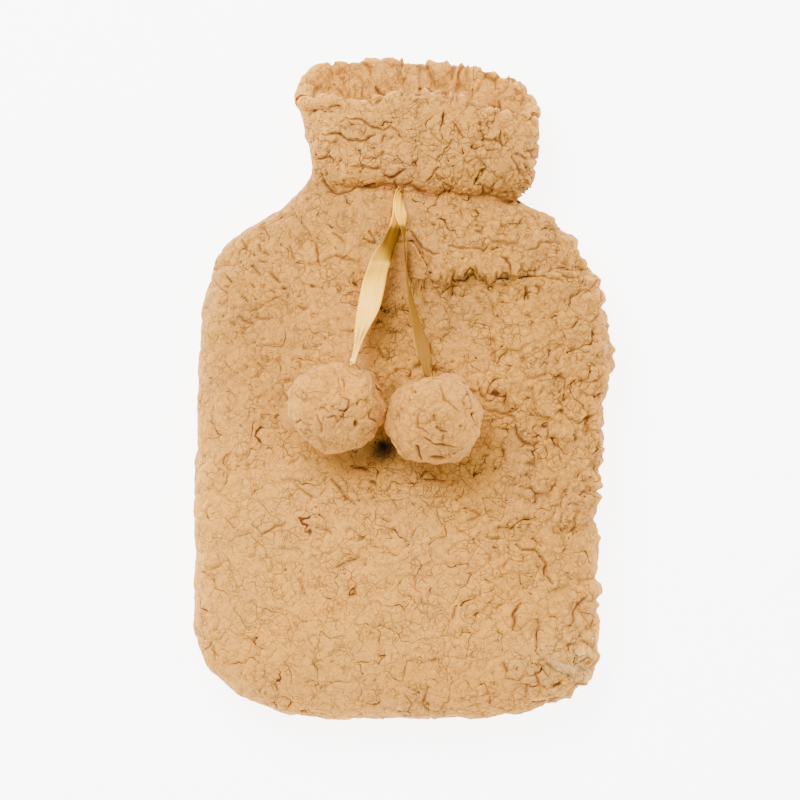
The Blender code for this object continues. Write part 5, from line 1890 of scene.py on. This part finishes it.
class COVER_OT_ribbons(Operator):
    """Make the two satin tails and the thread that ties the left one's end"""

    bl_idname = "cover.make_ribbons"
    bl_label = "Ribbon"

    def execute(self, context):
        settings = context.scene.cover_ribbon
        satin, thread = satin_material(settings), thread_material(settings)
        # The fourth of each is dim, how much painted shade the lower half of the tail gets
        tails = (("left", LEFT_TAIL, 3, 0.0, ["thread_left"]), ("right", RIGHT_TAIL, 8, 1.0, []))
        for side, stations, seed, dim, knots in tails:
            made, length = ribbon_piece(f"satin_tail_{side}", stations, settings, seed, satin, dim)
            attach(made, "root")
            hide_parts(f"ribbon_{side}")
            threads = [thread_knot(knot, stations, thread) for knot in knots]
            for knot in threads:
                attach(knot, "root")
        return {"FINISHED"}


def area_light(name, place, size, power):
    """A square soft light at place, turned to face the origin."""
    data = bpy.data.lights.new(name, "AREA")
    data.size = size
    data.energy = power
    lamp = bpy.data.objects.new(name, data)
    lamp.location = place
    toward = -np.array(place)
    lamp.rotation_euler = (
        math.atan2(math.hypot(toward[0], toward[1]), -toward[2]),
        0.0,
        math.atan2(toward[1], toward[0]) - math.pi / 2,
    )
    bpy.context.scene.collection.objects.link(lamp)


class COVER_OT_stage(Operator):
    """Make the floor, the soft lights and the camera over the cover"""

    bl_idname = "cover.make_stage"
    bl_label = "Stage"

    def execute(self, context):
        settings = context.scene.cover_stage
        reach = np.array([-FLOOR_HALF, FLOOR_HALF])
        x, y = np.meshgrid(reach, reach)
        points = np.stack([x, y, np.zeros_like(x)], axis=-1).reshape(-1, 3)
        floor = piece("floor", points, np.array([[0, 1, 3, 2]]), NO_TRIANGLES, floor_material(settings))
        area_light("key light", KEY_PLACE, KEY_SIZE, settings.key)
        area_light("fill light", FILL_PLACE, FILL_SIZE, settings.fill)
        world = bpy.data.worlds.new("even light")
        context.scene.world = world
        world.use_nodes = True
        sky = world.node_tree.nodes["Background"]
        sky.inputs["Color"].default_value = (1.0, 1.0, 1.0, 1.0)
        sky.inputs["Strength"].default_value = settings.sky
        data = bpy.data.cameras.new("camera")
        data.sensor_width = 36.0
        data.lens = data.sensor_width * (settings.distance - VIEW_HEIGHT) / settings.width
        data.clip_end = VIEW_END
        camera = bpy.data.objects.new("camera", data)
        camera.location = (*VIEW_MIDDLE, settings.distance)
        context.scene.collection.objects.link(camera)
        context.scene.camera = camera
        return {"FINISHED"}


class COVER_PT_panel(Panel):
    """The cover's pieces and their sizes"""

    bl_label = "Hot Water Bottle Cover"
    bl_idname = "COVER_PT_panel"
    bl_space_type = "VIEW_3D"
    bl_region_type = "UI"
    bl_category = "Cover"

    def draw(self, context):
        for label, group in GROUPS.items():
            box = self.layout.box()
            box.label(text=label.replace("_", " ").title())
            settings = getattr(context.scene, label)
            for name in group.__annotations__:
                box.prop(settings, name)
        for made in MAKERS:
            self.layout.operator(made.bl_idname, text=made.bl_label)


GROUPS = {
    "cover_fleece": FleeceSettings,
    "cover_pompoms": PompomSettings,
    "cover_ribbon": RibbonSettings,
    "cover_stage": StageSettings,
}
MAKERS = (
    COVER_OT_stage, COVER_OT_back, COVER_OT_front, COVER_OT_flap, COVER_OT_ribbons, COVER_OT_pompoms,
)


def register():
    """Adds the settings, the makers and the panel."""
    for made in (*GROUPS.values(), *MAKERS, COVER_PT_panel):
        bpy.utils.register_class(made)
    for name, group in GROUPS.items():
        setattr(bpy.types.Scene, name, PointerProperty(type=group))


def unregister():
    """Takes them away again."""
    for name in GROUPS:
        delattr(bpy.types.Scene, name)
    for made in reversed((*GROUPS.values(), *MAKERS, COVER_PT_panel)):
        bpy.utils.unregister_class(made)


def main():
    """Makes the whole scene."""
    register()
    bpy.ops.cover.make_stage()
    bpy.ops.cover.make_back()
    bpy.ops.cover.make_front()
    bpy.ops.cover.make_flap()
    bpy.ops.cover.make_ribbons()
    bpy.ops.cover.make_pompoms()


if __name__ == "__main__":
    main()
